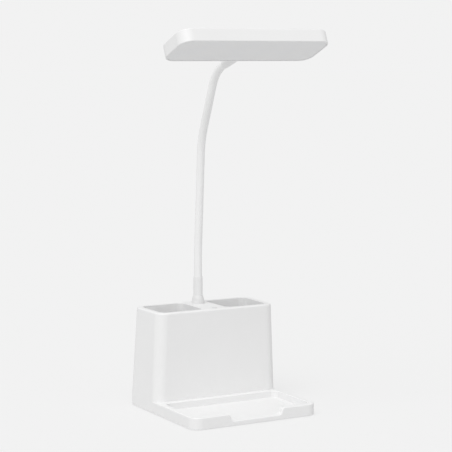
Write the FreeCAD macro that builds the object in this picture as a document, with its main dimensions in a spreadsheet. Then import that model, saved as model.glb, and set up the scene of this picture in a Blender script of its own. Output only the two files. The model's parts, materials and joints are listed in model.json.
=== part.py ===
"""Desk lamp on a square base: a box with two pen cups, a low ledge with a tray, and a bendable neck.

Millimetres, +Z up, X to the right and Y to the back. The origin is on the table, at the bottom centre
of the whole lamp. The neck's flexible tube is made as a chain of sections that meet in ball ends.
"""
import FreeCAD, Part

import math
import os
from types import SimpleNamespace

import Sketcher

os.makedirs("parts", exist_ok=True)
doc = FreeCAD.newDocument("desk_lamp")

# Driving dimensions
LENGTHS = {
    # Base: outline, tower and ledge
    "base_width": 140.0,
    "base_depth": 140.0,
    "base_set_back": 2.3,
    "base_corner": 11.0,
    "ledge_height": 12.2,
    "ledge_round": 1.2,
    "tower_height": 101.2,
    "tower_depth": 62.6,
    "tower_round": 1.8,
    "side_lean": 3.6,
    "back_lean": 5.0,
    "shell_wall": 2.2,
    "deck_thickness": 2.6,
    # Pen cups
    "cup_front_rim": 5.6,
    "cup_back_rim": 4.8,
    "cup_side_rim": 5.95,
    "bridge_width": 26.5,
    "cup_corner": 6.9,
    "cup_wall": 2.0,
    "cup_draft": 1.1,
    "cup_floor_height": 31.0,
    "cup_floor_round": 3.0,
    "cup_mouth_round": 0.5,
    # Tray in the ledge, and the notch in its front lip
    "tray_floor_height": 5.3,
    "tray_rim": 6.0,
    "tray_back_strip": 5.5,
    "tray_corner": 6.5,
    "tray_rim_round": 0.8,
    "notch_width": 50.0,
    "notch_run": 7.0,
    # Bottom cover, its screws and the feet
    "edge_lift": 1.0,
    "cover_seat_height": 3.2,
    "cover_thickness": 1.9,
    "cover_gap": 0.1,
    "foot_radius": 6.0,
    "foot_height": 2.0,
    "foot_chamfer": 0.5,
    "foot_inset": 18.0,
    "boss_radius": 4.2,
    "boss_height": 14.0,
    "boss_shift": 4.0,
    "cover_screw_radius": 1.3,
    "cover_screw_length": 9.0,
    "cover_screw_head_radius": 2.3,
    "cover_screw_head_height": 1.3,
    # Ballast, battery frame and battery
    "ballast_side_gap": 12.8,
    "ballast_end_gap": 4.1,
    "ballast_thickness": 3.0,
    "ballast_corner": 4.0,
    "frame_side_gap": 14.8,
    "frame_end_gap": 3.1,
    "frame_thickness": 1.5,
    "cell_radius": 9.15,
    "cell_length": 65.0,
    "cell_gap": 0.3,
    "cell_inset": 16.0,
    "cell_tip_radius": 3.0,
    "cell_tip_height": 1.2,
    "cell_edge_chamfer": 0.6,
    "saddle_width": 22.0,
    "saddle_thickness": 4.0,
    "saddle_spacing": 42.0,
    # Control board, charging socket and the lead to the head
    "board_width": 46.0,
    "board_depth": 20.0,
    "board_thickness": 1.6,
    "board_post_height": 5.5,
    "board_post_radius": 2.2,
    "board_post_inset": 3.2,
    "board_wall_gap": 0.8,
    "socket_width": 8.94,
    "socket_height": 3.26,
    "socket_length": 7.3,
    "socket_corner": 1.5,
    "socket_wall": 0.3,
    "socket_depth": 6.2,
    "socket_inset": 0.6,
    "tongue_width": 6.7,
    "tongue_height": 0.7,
    "tongue_length": 5.0,
    "connector_width": 6.0,
    "connector_depth": 4.6,
    "connector_height": 4.0,
    "lead_radius": 1.3,
    # Power button with its switch
    "button_radius": 2.8,
    "button_proud": 0.4,
    "button_travel": 0.8,
    "button_inset": 7.5,
    "button_round": 0.3,
    "flange_width": 1.4,
    "flange_height": 1.0,
    "stem_radius": 1.5,
    "stem_length": 2.0,
    "switch_width": 6.2,
    "switch_height": 3.5,
    "switch_corner": 0.3,
    "button_board_gap": 0.3,
    "button_board_depth": 9.2,
    "button_post_inset": 2.35,
    "button_post_radius": 2.0,
    # Small screws, which hold the boards and the stem clamp
    "screw_radius": 0.9,
    "screw_length": 4.0,
    "screw_hole_depth": 4.4,
    "screw_head_radius": 1.7,
    "screw_head_height": 1.2,
    # Neck foot: ferrule, nut, washer, bell and cuff
    "neck_set_back": 42.4,
    "neck_boss_radius": 8.5,
    "neck_boss_height": 2.4,
    "ferrule_radius": 3.95,
    "ferrule_bore": 1.7,
    "ferrule_flange_radius": 5.1,
    "ferrule_flange_height": 1.6,
    "ferrule_spigot_height": 20.0,
    "ferrule_tail": 2.0,
    "washer_radius": 8.0,
    "washer_thickness": 1.2,
    "nut_across_flats": 13.0,
    "nut_height": 5.0,
    "bell_radius": 6.5,
    "bell_rim": 0.8,
    "bell_height": 8.0,
    "bell_step": 0.3,
    "cuff_wall": 0.7,
    "cuff_height": 19.8,
    "cuff_round": 0.3,
    # Neck tube, its steel core and its course
    "tube_radius": 4.0,
    "core_radius": 3.1,
    "core_end_wall": 1.0,
    "ball_gap": 0.3,
    "foot_joint_height": 34.8,
    "first_rise": 6.0,
    "first_bend_radius": 330.0,
    "long_rise": 92.0,
    "low_joint_rise": 16.0,
    "middle_joint_rise": 80.0,
    "middle_bend_radius": 82.0,
    "upper_rise": 46.5,
    "upper_joint_rise": 17.0,
    "upper_bend_radius": 36.0,
    "upper_end_rise": 4.5,
    # Collar and stem that carry the head
    "collar_length": 24.0,
    "collar_start": 1.9,
    "collar_thin_radius": 4.7,
    "collar_wide_radius": 6.3,
    "collar_round": 0.5,
    "stem_wall": 1.2,
    "stem_reach": 11.0,
    # Head
    "head_length": 163.5,
    "head_depth": 48.5,
    "head_thickness": 13.5,
    "head_corner": 12.5,
    "head_top_round": 1.6,
    "head_edge_round": 0.8,
    "head_wall": 1.8,
    "diffuser_rim": 1.3,
    "diffuser_thickness": 1.8,
    "diffuser_inset": 0.3,
    "diffuser_ledge": 1.2,
    "light_board_end_gap": 5.25,
    "light_board_front_gap": 1.2,
    "light_board_back_gap": 3.8,
    "light_board_thickness": 1.2,
    "light_boss_radius": 2.6,
    "light_boss_height": 1.5,
    "light_boss_inset": 5.0,
    "chip_length": 3.5,
    "chip_width": 2.8,
    "chip_height": 0.7,
    "chip_end_inset": 7.7,
    "chip_row_spacing": 14.0,
    "clamp_width": 24.0,
    "clamp_depth": 8.4,
    "clamp_height": 4.2,
    "clamp_screw_spacing": 15.0,
    "clamp_screw_length": 5.5,
    # Clearances, and how far a cut runs past the solid
    "fit_gap": 0.05,
    "slide_gap": 0.25,
    "seat_gap": 0.1,
    "overrun": 2.0,
}
ANGLES = {
    "first_bend_angle": 3.7,
    "middle_bend_angle": 19.5,
    "upper_bend_angle": 43.8,
}
COUNTS = {
    "chips_in_row": 14,
}


class Size:
    """A value together with the sheet expression that it comes from."""

    def __init__(self, value, words):
        self.value = value
        self.words = words

    def __add__(self, other):
        other = as_size(other)
        return Size(self.value + other.value, f"({self.words} + {other.words})")

    def __sub__(self, other):
        other = as_size(other)
        return Size(self.value - other.value, f"({self.words} - {other.words})")

    def __mul__(self, factor):
        factor = as_size(factor)
        return Size(self.value * factor.value, f"({self.words} * {factor.words})")

    def __truediv__(self, divisor):
        divisor = as_size(divisor)
        return Size(self.value / divisor.value, f"({self.words} / {divisor.words})")

    def __neg__(self):
        return Size(-self.value, f"(0 - {self.words})")


def as_size(number):
    """Wrap a plain number, so that it can stand beside a size."""
    return number if isinstance(number, Size) else Size(number, str(number))


def fill_sheet():
    """Write the driving dimensions into a spreadsheet and return them as sizes."""
    sheet = doc.addObject("Spreadsheet::Sheet", "Sizes")
    names = {}
    rows = {**LENGTHS, **ANGLES, **COUNTS}
    for row, (name, number) in enumerate(rows.items(), start=1):
        sheet.set(f"A{row}", name)
        sheet.set(f"B{row}", str(number))
        sheet.setAlias(f"B{row}", name)
        names[name] = Size(number, f"Sizes.{name}")
    doc.recompute()
    return SimpleNamespace(**names)


S = fill_sheet()
ZERO = as_size(0)

# Places that several pieces share
base_front = S.base_set_back - S.base_depth / 2
base_back = S.base_set_back + S.base_depth / 2
tower_front = base_back - S.tower_depth
tower_top_width = S.base_width - S.side_lean * 2
tower_top_depth = S.tower_depth - S.back_lean
deck_underside = S.tower_height - S.deck_thickness
cup_width = (tower_top_width - S.bridge_width) / 2 - S.cup_side_rim
cup_depth = tower_top_depth - S.cup_front_rim - S.cup_back_rim
cup_centre_x = (S.bridge_width + cup_width) / 2
cup_centre_y = tower_front + S.cup_front_rim + cup_depth / 2
tray_front = base_front + S.tray_rim
tray_back = tower_front - S.tray_back_strip
tray_width = S.base_width - S.tray_rim * 2
cover_top = S.cover_seat_height - S.cover_gap
cover_bottom = cover_top - S.cover_thickness
cover_inset = S.shell_wall + S.slide_gap
room_width = S.base_width - S.shell_wall * 2
room_depth = S.tower_depth - S.shell_wall * 2
ballast_top = cover_top + S.ballast_thickness
frame_top = ballast_top + S.frame_thickness
inner_centre_y = tower_front + S.tower_depth / 2
cell_centre_y = tower_front + S.shell_wall + S.cell_inset
cell_centre_z = frame_top + S.cell_gap + S.cell_radius
board_centre_y = base_back - S.shell_wall - S.board_wall_gap - S.board_depth / 2
board_underside = frame_top + S.board_post_height
board_top = board_underside + S.board_thickness
socket_centre_z = board_top + S.socket_height / 2
neck_y = tower_front + S.neck_set_back
button_y = tower_front + S.button_inset
flange_top = deck_underside - S.seat_gap
switch_top = flange_top - S.flange_height - S.stem_length - S.button_travel - S.seat_gap
button_board_top = switch_top - S.switch_height
button_board_width = S.bridge_width - S.cup_wall * 2 - S.button_board_gap * 2
button_post_reach = button_board_width / 2 - S.button_post_inset
washer_bottom = deck_underside - S.neck_boss_height - S.washer_thickness
cuff_radius = S.tube_radius + S.cuff_wall
boss_reach_x = S.base_width / 2 - S.base_corner + S.boss_shift
boss_back_y = base_back - S.base_corner + S.boss_shift
boss_front_y = tower_front + S.base_corner - S.boss_shift
BOSS_PLACES = [
    (-boss_reach_x, boss_front_y),
    (boss_reach_x, boss_front_y),
    (-boss_reach_x, boss_back_y),
    (boss_reach_x, boss_back_y),
]
foot_reach = S.base_width / 2 - S.foot_inset
FOOT_PLACES = {
    "foot_front_left": (-foot_reach, base_front + S.foot_inset),
    "foot_front_right": (foot_reach, base_front + S.foot_inset),
    "foot_back_left": (-foot_reach, base_back - S.foot_inset),
    "foot_back_right": (foot_reach, base_back - S.foot_inset),
}
BUTTON_POST_PLACES = [
    (-button_post_reach, button_y),
    (button_post_reach, button_y),
]


def four_corners(width, depth, inset, centre_y):
    """Give the four places that lie inset from the corners of a board."""
    reach_x = width / 2 - inset
    reach_y = depth / 2 - inset
    return [
        (-reach_x, centre_y - reach_y),
        (reach_x, centre_y - reach_y),
        (-reach_x, centre_y + reach_y),
        (reach_x, centre_y + reach_y),
    ]


BOARD_POST_PLACES = four_corners(S.board_width, S.board_depth, S.board_post_inset, board_centre_y)


def bind(thing, prop, size):
    """Bind one property of a document object to a size."""
    thing.setExpression(prop, as_size(size).words)


def place(thing, x, y, z):
    """Put an object at x, y, z, bound to the sheet."""
    for axis, distance in zip("xyz", (x, y, z)):
        bind(thing, f"Placement.Base.{axis}", distance)
    return thing


def new_body(label):
    """Start a sub-part."""
    body = doc.addObject("PartDesign::Body", label)
    body.Label = label
    return body


def origin_plane(body, role):
    """Return one of the body's own origin planes."""
    return [feature for feature in body.Origin.OriginFeatures if feature.Role == role][0]


def new_sketch(body, role="XY_Plane", x=0, y=0, z=0):
    """Start a sketch on one of the body's own origin planes, shifted along its own axes."""
    sketch = body.newObject("Sketcher::SketchObject", "sketch")
    sketch.AttachmentSupport = [(origin_plane(body, role), "")]
    sketch.MapMode = "FlatFace"
    for axis, distance in zip("xyz", (x, y, z)):
        bind(sketch, f"AttachmentOffset.Base.{axis}", distance)
    return sketch


def vector(x, y):
    """Return a point in a sketch."""
    return FreeCAD.Vector(as_size(x).value, as_size(y).value, 0)


def constrain(sketch, kind, *arguments, size=None):
    """Add a constraint, bound to a size where one is given."""
    if size is None:
        return sketch.addConstraint(Sketcher.Constraint(kind, *arguments))
    index = sketch.addConstraint(Sketcher.Constraint(kind, *arguments, size.value))
    sketch.setExpression(f"Constraints[{index}]", size.words)
    return index


def pin(sketch, geometry, point, x, y):
    """Hold a point of the sketch at x, y from the sketch's origin."""
    for kind, axis, distance in (("DistanceX", -2, as_size(x)), ("DistanceY", -1, as_size(y))):
        if distance.value == 0:
            constrain(sketch, "PointOnObject", geometry, point, axis)
        elif distance.value > 0:
            constrain(sketch, kind, -1, 1, geometry, point, size=distance)
        else:
            constrain(sketch, kind, geometry, point, -1, 1, size=-distance)


def draw_outline(sketch, points):
    """Draw a closed outline of straight lines, each corner held at its place."""
    first = sketch.GeometryCount
    count = len(points)
    for index in range(count):
        start = vector(*points[index])
        end = vector(*points[(index + 1) % count])
        sketch.addGeometry(Part.LineSegment(start, end), False)
    for index in range(count):
        following = (index + 1) % count
        constrain(sketch, "Coincident", first + index, 2, first + following, 1)
        pin(sketch, first + index, 1, *points[index])
    return sketch


def draw_rectangle(sketch, width, depth, x=0, y=0):
    """Draw a plain rectangle about the point x, y."""
    left = as_size(x) - width / 2
    right = as_size(x) + width / 2
    low = as_size(y) - depth / 2
    high = as_size(y) + depth / 2
    return draw_outline(sketch, [(left, low), (right, low), (right, high), (left, high)])


def draw_circle(sketch, radius, x=0, y=0):
    """Draw a circle about the point x, y."""
    circle = Part.Circle(vector(x, y), FreeCAD.Vector(0, 0, 1), radius.value)
    index = sketch.addGeometry(circle, False)
    constrain(sketch, "Radius", index, size=radius)
    pin(sketch, index, 3, x, y)
    return sketch


def draw_circles(sketch, radius, places):
    """Draw a circle of one radius about each place."""
    for x, y in places:
        draw_circle(sketch, radius, x, y)
    return sketch


def draw_rounded(sketch, width, depth, corner):
    """Draw a rounded rectangle about the sketch's origin, with one radius at all four corners."""
    half_width = width / 2
    half_depth = depth / 2
    reach_x = (half_width - corner).value
    reach_y = (half_depth - corner).value
    centres = [(-reach_x, -reach_y), (reach_x, -reach_y), (reach_x, reach_y), (-reach_x, reach_y)]
    arcs = []
    for index, (x, y) in enumerate(centres):
        start_angle = math.pi + index * math.pi / 2
        circle = Part.Circle(FreeCAD.Vector(x, y, 0), FreeCAD.Vector(0, 0, 1), corner.value)
        arcs.append(Part.ArcOfCircle(circle, start_angle, start_angle + math.pi / 2))
    for index in range(4):
        following = arcs[(index + 1) % 4]
        sketch.addGeometry(Part.LineSegment(arcs[index].EndPoint, following.StartPoint), False)
    for arc in arcs:
        sketch.addGeometry(arc, False)
    for index in range(4):
        arc = index + 4
        constrain(sketch, "Tangent", arc, 2, index, 1)
        constrain(sketch, "Tangent", (index + 3) % 4, 2, arc, 1)
        constrain(sketch, "Radius", arc, size=corner)
    for side in (0, 2):
        constrain(sketch, "Horizontal", side)
    for side in (1, 3):
        constrain(sketch, "Vertical", side)
    constrain(sketch, "DistanceX", 3, 1, -1, 1, size=half_width)
    constrain(sketch, "DistanceX", -1, 1, 1, 1, size=half_width)
    constrain(sketch, "DistanceY", 0, 1, -1, 1, size=half_depth)
    constrain(sketch, "DistanceY", -1, 1, 2, 1, size=half_depth)
    return sketch


def pad(body, sketch, length, down=False):
    """Raise a sketch into a solid, along its normal or the other way."""
    feature = body.newObject("PartDesign::Pad", "pad")
    feature.Profile = sketch
    feature.Reversed = down
    bind(feature, "Length", length)
    return feature


def pocket(body, sketch, length, up=False):
    """Cut a sketch into the solid, against its normal or the other way, and check that it cut."""
    before = volume_of(body)
    feature = body.newObject("PartDesign::Pocket", "pocket")
    feature.Profile = sketch
    feature.Reversed = up
    bind(feature, "Length", length)
    check_cut(body, before)
    return feature


def volume_of(body):
    """Return the volume of what the body holds so far."""
    doc.recompute()
    return body.Shape.Volume


def check_cut(body, before):
    """Stop if the last cut took nothing away."""
    if not volume_of(body) < before:
        raise RuntimeError(f"a cut in {body.Label} takes nothing away")


def loft(body, kind, lower, upper):
    """Join two sketches with straight sides, as an added or a subtracted solid."""
    feature = body.newObject(f"PartDesign::{kind}Loft", "loft")
    feature.Profile = lower
    feature.Sections = [upper]
    feature.Ruled = True
    return feature


def revolve(body, points):
    """Turn an outline of radius and height about the body's Z axis."""
    sketch = draw_outline(new_sketch(body, "XZ_Plane"), points)
    feature = body.newObject("PartDesign::Revolution", "revolution")
    feature.Profile = sketch
    feature.ReferenceAxis = (sketch, ["V_Axis"])
    feature.Angle = 360
    return feature


def round_edges(body, radius, wanted, kind="Fillet"):
    """Round, or chamfer, each edge that the test picks."""
    doc.recompute()
    base = body.Tip
    edges = [f"Edge{index}" for index, edge in enumerate(base.Shape.Edges, start=1) if wanted(edge)]
    if not edges:
        raise RuntimeError(f"no edge of {body.Label} to round")
    feature = body.newObject(f"PartDesign::{kind}", "edges")
    feature.Base = (base, edges)
    bind(feature, "Radius" if kind == "Fillet" else "Size", radius)
    return feature


def ball(body, kind, radius, y=0, z=0):
    """Add or subtract a ball whose centre lies on the body's YZ plane."""
    feature = body.newObject(f"PartDesign::{kind}Sphere", "ball")
    bind(feature, "Radius", radius)
    feature.AttachmentSupport = [(origin_plane(body, "XY_Plane"), "")]
    feature.MapMode = "FlatFace"
    feature.AttachmentOffset = FreeCAD.Placement(FreeCAD.Vector(0, y, z), FreeCAD.Rotation())
    return feature


def level(edge, height):
    """Say whether an edge lies flat at one height."""
    box = edge.BoundBox
    near = S.fit_gap.value
    return abs(box.ZMin - height.value) < near and abs(box.ZMax - height.value) < near


# Housing: one moulding with the slab, the tower, the two cups and the tray
def make_housing():
    """Make the outer shell, open underneath."""
    body = new_body("housing")
    slab = new_sketch(body, y=S.base_set_back, z=S.edge_lift)
    draw_rounded(slab, S.base_width, S.base_depth, S.base_corner)
    pad(body, slab, S.ledge_height - S.edge_lift)
    make_tray(body)

    plinth = new_sketch(body, y=inner_centre_y, z=S.edge_lift)
    draw_rounded(plinth, S.base_width, S.tower_depth, S.base_corner)
    pad(body, plinth, S.ledge_height - S.edge_lift)
    tower_foot = new_sketch(body, y=inner_centre_y, z=S.ledge_height)
    draw_rounded(tower_foot, S.base_width, S.tower_depth, S.base_corner)
    tower_head = new_sketch(body, y=tower_front + tower_top_depth / 2, z=S.tower_height)
    draw_rounded(tower_head, tower_top_width, tower_top_depth, S.base_corner)
    loft(body, "Additive", tower_foot, tower_head)
    round_edges(body, S.tower_round, lambda edge: level(edge, S.tower_height))

    hollow_housing(body)
    for side in (as_size(-1), as_size(1)):
        make_cup(body, side)
    make_housing_bosses(body)
    make_housing_holes(body)
    return body


def hollow_housing(body):
    """Cut the seat of the bottom cover and the hollow of the tower."""
    inner_corner = S.base_corner - S.shell_wall
    seat = new_sketch(body, y=S.base_set_back, z=S.edge_lift)
    draw_rounded(seat, room_width, S.base_depth - S.shell_wall * 2, inner_corner)
    pocket(body, seat, S.cover_seat_height - S.edge_lift, up=True)

    room = new_sketch(body, y=inner_centre_y, z=S.cover_seat_height)
    draw_rounded(room, room_width, room_depth, inner_corner)
    pocket(body, room, S.ledge_height - S.cover_seat_height, up=True)
    room_foot = new_sketch(body, y=inner_centre_y, z=S.ledge_height)
    draw_rounded(room_foot, room_width, room_depth, inner_corner)
    room_head = new_sketch(body, y=tower_front + tower_top_depth / 2, z=deck_underside)
    head_width = tower_top_width - S.shell_wall * 2
    draw_rounded(room_head, head_width, tower_top_depth - S.shell_wall * 2, inner_corner)
    before = volume_of(body)
    loft(body, "Subtractive", room_foot, room_head)
    check_cut(body, before)


def make_cup(body, side):
    """Add one cup's wall inside the tower and cut the cup, narrower at its floor."""
    centre_x = side * cup_centre_x
    wall = S.cup_wall * 2
    draft = S.cup_draft * 2
    well_head = new_sketch(body, x=centre_x, y=cup_centre_y, z=deck_underside)
    draw_rounded(well_head, cup_width + wall, cup_depth + wall, S.cup_corner + S.cup_wall)
    well_foot = new_sketch(body, x=centre_x, y=cup_centre_y, z=S.cup_floor_height - S.cup_wall)
    foot_width = cup_width + wall - draft
    draw_rounded(well_foot, foot_width, cup_depth + wall - draft, S.cup_corner + S.cup_wall)
    loft(body, "Additive", well_head, well_foot)

    mouth = new_sketch(body, x=centre_x, y=cup_centre_y, z=S.tower_height)
    draw_rounded(mouth, cup_width, cup_depth, S.cup_corner)
    floor = new_sketch(body, x=centre_x, y=cup_centre_y, z=S.cup_floor_height)
    draw_rounded(floor, cup_width - draft, cup_depth - draft, S.cup_corner)
    before = volume_of(body)
    loft(body, "Subtractive", mouth, floor)
    check_cut(body, before)

    reach_x = (cup_width / 2 + S.fit_gap).value
    reach_y = (cup_depth / 2 + S.fit_gap).value

    def inside_cup(edge):
        box = edge.BoundBox
        centre = box.Center
        return (
            abs(centre.x - centre_x.value) < reach_x
            and abs(centre.y - cup_centre_y.value) < reach_y
        )

    round_edges(body, S.cup_floor_round, lambda edge: level(edge, S.cup_floor_height) and inside_cup(edge))
    round_edges(body, S.cup_mouth_round, lambda edge: level(edge, S.tower_height) and inside_cup(edge))


def make_tray(body):
    """Cut the tray into the slab, the notch with its soft ends through the front lip, and round both."""
    tray = new_sketch(body, y=(tray_front + tray_back) / 2, z=S.ledge_height + S.overrun)
    draw_rounded(tray, tray_width, tray_back - tray_front, S.tray_corner)
    tray_depth = S.ledge_height - S.tray_floor_height
    pocket(body, tray, tray_depth + S.overrun)
    near = S.fit_gap.value

    def around_tray(edge):
        box = edge.BoundBox
        reach = max(-box.XMin, box.XMax)
        return reach < (tray_width / 2).value + near and box.YMax < tray_back.value + near

    def tray_rim(edge):
        return level(edge, S.ledge_height) and around_tray(edge) and edge.BoundBox.YMin > tray_front.value - near

    round_edges(body, S.tray_rim_round, tray_rim)
    notch = new_sketch(body, "XZ_Plane", z=S.overrun - base_front)
    draw_notch(notch, tray_depth)
    pocket(body, notch, S.tray_rim + S.overrun * 2)

    def outer_rim(edge):
        in_front = edge.BoundBox.YMax < base_front.value + near
        above_floor = edge.BoundBox.ZMin > S.tray_floor_height.value - near
        return above_floor and (in_front or not around_tray(edge))

    round_edges(body, S.ledge_round, outer_rim)


def draw_notch(sketch, depth):
    """Draw the notch: a flat floor whose ends rise in an S of two equal arcs."""
    half = S.notch_width / 2
    outer = half + S.notch_run
    floor = S.tray_floor_height
    top = S.ledge_height
    above = top + S.overrun
    run = S.notch_run.value
    radius = (run * run + depth.value * depth.value) / (4 * depth.value)
    turn = 2 * math.atan2(depth.value, run)
    normal = FreeCAD.Vector(0, 0, 1)
    sketch.addGeometry(Part.LineSegment(vector(-half, floor), vector(half, floor)), False)
    low_right = Part.Circle(vector(half, floor.value + radius), normal, radius)
    sketch.addGeometry(Part.ArcOfCircle(low_right, 1.5 * math.pi, 1.5 * math.pi + turn), False)
    high_right = Part.Circle(vector(outer, top.value - radius), normal, radius)
    sketch.addGeometry(Part.ArcOfCircle(high_right, 0.5 * math.pi, 0.5 * math.pi + turn), False)
    sketch.addGeometry(Part.LineSegment(vector(outer, top), vector(outer, above)), False)
    sketch.addGeometry(Part.LineSegment(vector(outer, above), vector(-outer, above)), False)
    sketch.addGeometry(Part.LineSegment(vector(-outer, above), vector(-outer, top)), False)
    high_left = Part.Circle(vector(-outer, top.value - radius), normal, radius)
    sketch.addGeometry(Part.ArcOfCircle(high_left, 0.5 * math.pi - turn, 0.5 * math.pi), False)
    low_left = Part.Circle(vector(-half, floor.value + radius), normal, radius)
    sketch.addGeometry(Part.ArcOfCircle(low_left, 1.5 * math.pi - turn, 1.5 * math.pi), False)
    constrain(sketch, "Tangent", 0, 2, 1, 1)
    constrain(sketch, "Tangent", 1, 2, 2, 2)
    constrain(sketch, "Coincident", 2, 1, 3, 1)
    constrain(sketch, "Coincident", 3, 2, 4, 1)
    constrain(sketch, "Coincident", 4, 2, 5, 1)
    constrain(sketch, "Coincident", 5, 2, 6, 2)
    constrain(sketch, "Tangent", 6, 1, 7, 1)
    constrain(sketch, "Tangent", 7, 2, 0, 1)
    constrain(sketch, "Equal", 1, 2)
    constrain(sketch, "Equal", 6, 7)
    pin(sketch, 0, 1, -half, floor)
    pin(sketch, 0, 2, half, floor)
    pin(sketch, 3, 1, outer, top)
    pin(sketch, 3, 2, outer, above)
    pin(sketch, 5, 1, -outer, above)
    pin(sketch, 5, 2, -outer, top)


def make_housing_bosses(body):
    """Add the screw bosses, the thick ring under the neck and the posts of the button's board."""
    bosses = draw_circles(new_sketch(body, z=S.cover_seat_height), S.boss_radius, BOSS_PLACES)
    pad(body, bosses, S.boss_height)
    ring = draw_circle(new_sketch(body, z=deck_underside), S.neck_boss_radius, 0, neck_y)
    pad(body, ring, S.neck_boss_height, down=True)
    posts = draw_circles(new_sketch(body, z=deck_underside), S.button_post_radius, BUTTON_POST_PLACES)
    pad(body, posts, deck_underside - button_board_top, down=True)


def make_housing_holes(body):
    """Cut the holes for the screws, the neck, the button and the charging socket."""
    boss_holes = new_sketch(body, z=S.cover_seat_height)
    draw_circles(boss_holes, S.cover_screw_radius + S.fit_gap, BOSS_PLACES)
    pocket(body, boss_holes, S.cover_screw_length, up=True)
    post_holes = new_sketch(body, z=button_board_top)
    draw_circles(post_holes, S.screw_radius + S.fit_gap, BUTTON_POST_PLACES)
    pocket(body, post_holes, S.screw_hole_depth, up=True)
    above_deck = S.tower_height + S.overrun
    neck_hole = draw_circle(new_sketch(body, z=above_deck), S.ferrule_radius + S.fit_gap, 0, neck_y)
    pocket(body, neck_hole, S.deck_thickness + S.neck_boss_height + S.overrun * 2)
    button_hole = draw_circle(new_sketch(body, z=above_deck), S.button_radius + S.slide_gap, 0, button_y)
    pocket(body, button_hole, S.deck_thickness + S.overrun * 2)
    slot = new_sketch(body, "XZ_Plane", y=socket_centre_z, z=-(base_back + S.overrun))
    slot_width = S.socket_width + S.slide_gap * 2
    slot_height = S.socket_height + S.slide_gap * 2
    draw_rounded(slot, slot_width, slot_height, S.socket_corner + S.slide_gap)
    pocket(body, slot, S.shell_wall + S.overrun * 2, up=True)


# Bottom cover, screws and feet
def make_bottom_cover():
    """Make the plate that closes the housing, with seats for the feet and the screw heads."""
    body = new_body("bottom_cover")
    plate = new_sketch(body, y=S.base_set_back, z=cover_bottom)
    plate_width = S.base_width - cover_inset * 2
    draw_rounded(plate, plate_width, S.base_depth - cover_inset * 2, S.base_corner - cover_inset)
    pad(body, plate, S.cover_thickness)
    holes = draw_circles(new_sketch(body, z=cover_bottom), S.cover_screw_radius + S.slide_gap, BOSS_PLACES)
    pocket(body, holes, S.cover_thickness + S.overrun, up=True)
    seats = new_sketch(body, z=cover_bottom)
    draw_circles(seats, S.cover_screw_head_radius + S.fit_gap, BOSS_PLACES)
    pocket(body, seats, S.cover_screw_head_height, up=True)
    foot_seats = new_sketch(body, z=cover_bottom)
    draw_circles(foot_seats, S.foot_radius + S.fit_gap, FOOT_PLACES.values())
    pocket(body, foot_seats, S.foot_height - cover_bottom, up=True)
    return body


def make_foot(label, x, y):
    """Make one rubber foot with a chamfered tread."""
    body = new_body(label)
    rim = S.foot_radius - S.foot_chamfer
    outline = [
        (ZERO, ZERO),
        (rim, ZERO),
        (S.foot_radius, S.foot_chamfer),
        (S.foot_radius, S.foot_height),
        (ZERO, S.foot_height),
    ]
    revolve(body, outline)
    return place(body, x, y, 0)


def make_screw(name, radius, length, head_radius, head_height, x, y, z, up):
    """Make one screw whose head starts at z, with its shank pointing up or down from the head."""
    shank = doc.addObject("Part::Cylinder", f"{name}_shank")
    bind(shank, "Radius", radius)
    bind(shank, "Height", length)
    head = doc.addObject("Part::Cylinder", f"{name}_head")
    bind(head, "Radius", head_radius)
    bind(head, "Height", head_height)
    place(head, x, y, z if up else z - head_height)
    place(shank, x, y, z + head_height if up else z - head_height - length)
    screw = doc.addObject("Part::Fuse", name)
    screw.Base = head
    screw.Tool = shank
    return screw


def make_group(label, members):
    """Put like pieces under one name."""
    group = doc.addObject("Part::Compound", label)
    group.Label = label
    group.Links = members
    return group


def make_small_screws(label, places, length, z, up):
    """Make a set of small screws with their heads at z."""
    screws = []
    for index, (x, y) in enumerate(places, start=1):
        name = f"{label}_{index}"
        head = (S.screw_head_radius, S.screw_head_height)
        screws.append(make_screw(name, S.screw_radius, length, *head, x, y, z, up))
    return make_group(label, screws)


def make_cover_screws():
    """Make the four screws that hold the bottom cover to the housing."""
    length = S.cover_screw_length - S.cover_screw_head_height
    head = (S.cover_screw_head_radius, S.cover_screw_head_height - S.fit_gap)
    screws = []
    for index, (x, y) in enumerate(BOSS_PLACES, start=1):
        name = f"cover_screw_{index}"
        screws.append(make_screw(name, S.cover_screw_radius, length, *head, x, y, cover_bottom, True))
    return make_group("cover_screws", screws)


# Inside the base: ballast, battery frame, battery, control board and socket
def make_plate(label, width, depth, thickness, corner, y, z):
    """Make a flat plate with round corners."""
    body = new_body(label)
    sketch = new_sketch(body, y=y, z=z)
    draw_rounded(sketch, width, depth, corner)
    pad(body, sketch, thickness)
    return body


def make_inner_frame():
    """Make the moulded frame: a plate with two saddles for the battery and four board posts."""
    body = make_plate(
        "inner_frame", room_width - S.frame_side_gap * 2, room_depth - S.frame_end_gap * 2,
        S.frame_thickness, S.ballast_corner, inner_centre_y, ballast_top,
    )
    saddle_height = cell_centre_z - frame_top
    saddles = new_sketch(body, z=frame_top)
    for centre_x in (-S.saddle_spacing / 2, S.saddle_spacing / 2):
        draw_rectangle(saddles, S.saddle_thickness, S.saddle_width, centre_x, cell_centre_y)
    pad(body, saddles, saddle_height)
    channel = draw_circle(
        new_sketch(body, "YZ_Plane", z=-(S.saddle_spacing / 2 + S.saddle_thickness)),
        S.cell_radius + S.cell_gap, cell_centre_y, cell_centre_z,
    )
    pocket(body, channel, S.saddle_spacing + S.saddle_thickness * 2, up=True)
    posts = draw_circles(new_sketch(body, z=frame_top), S.board_post_radius, BOARD_POST_PLACES)
    pad(body, posts, S.board_post_height)
    holes = draw_circles(new_sketch(body, z=board_underside), S.screw_radius + S.fit_gap, BOARD_POST_PLACES)
    pocket(body, holes, S.screw_hole_depth)
    return body


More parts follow.
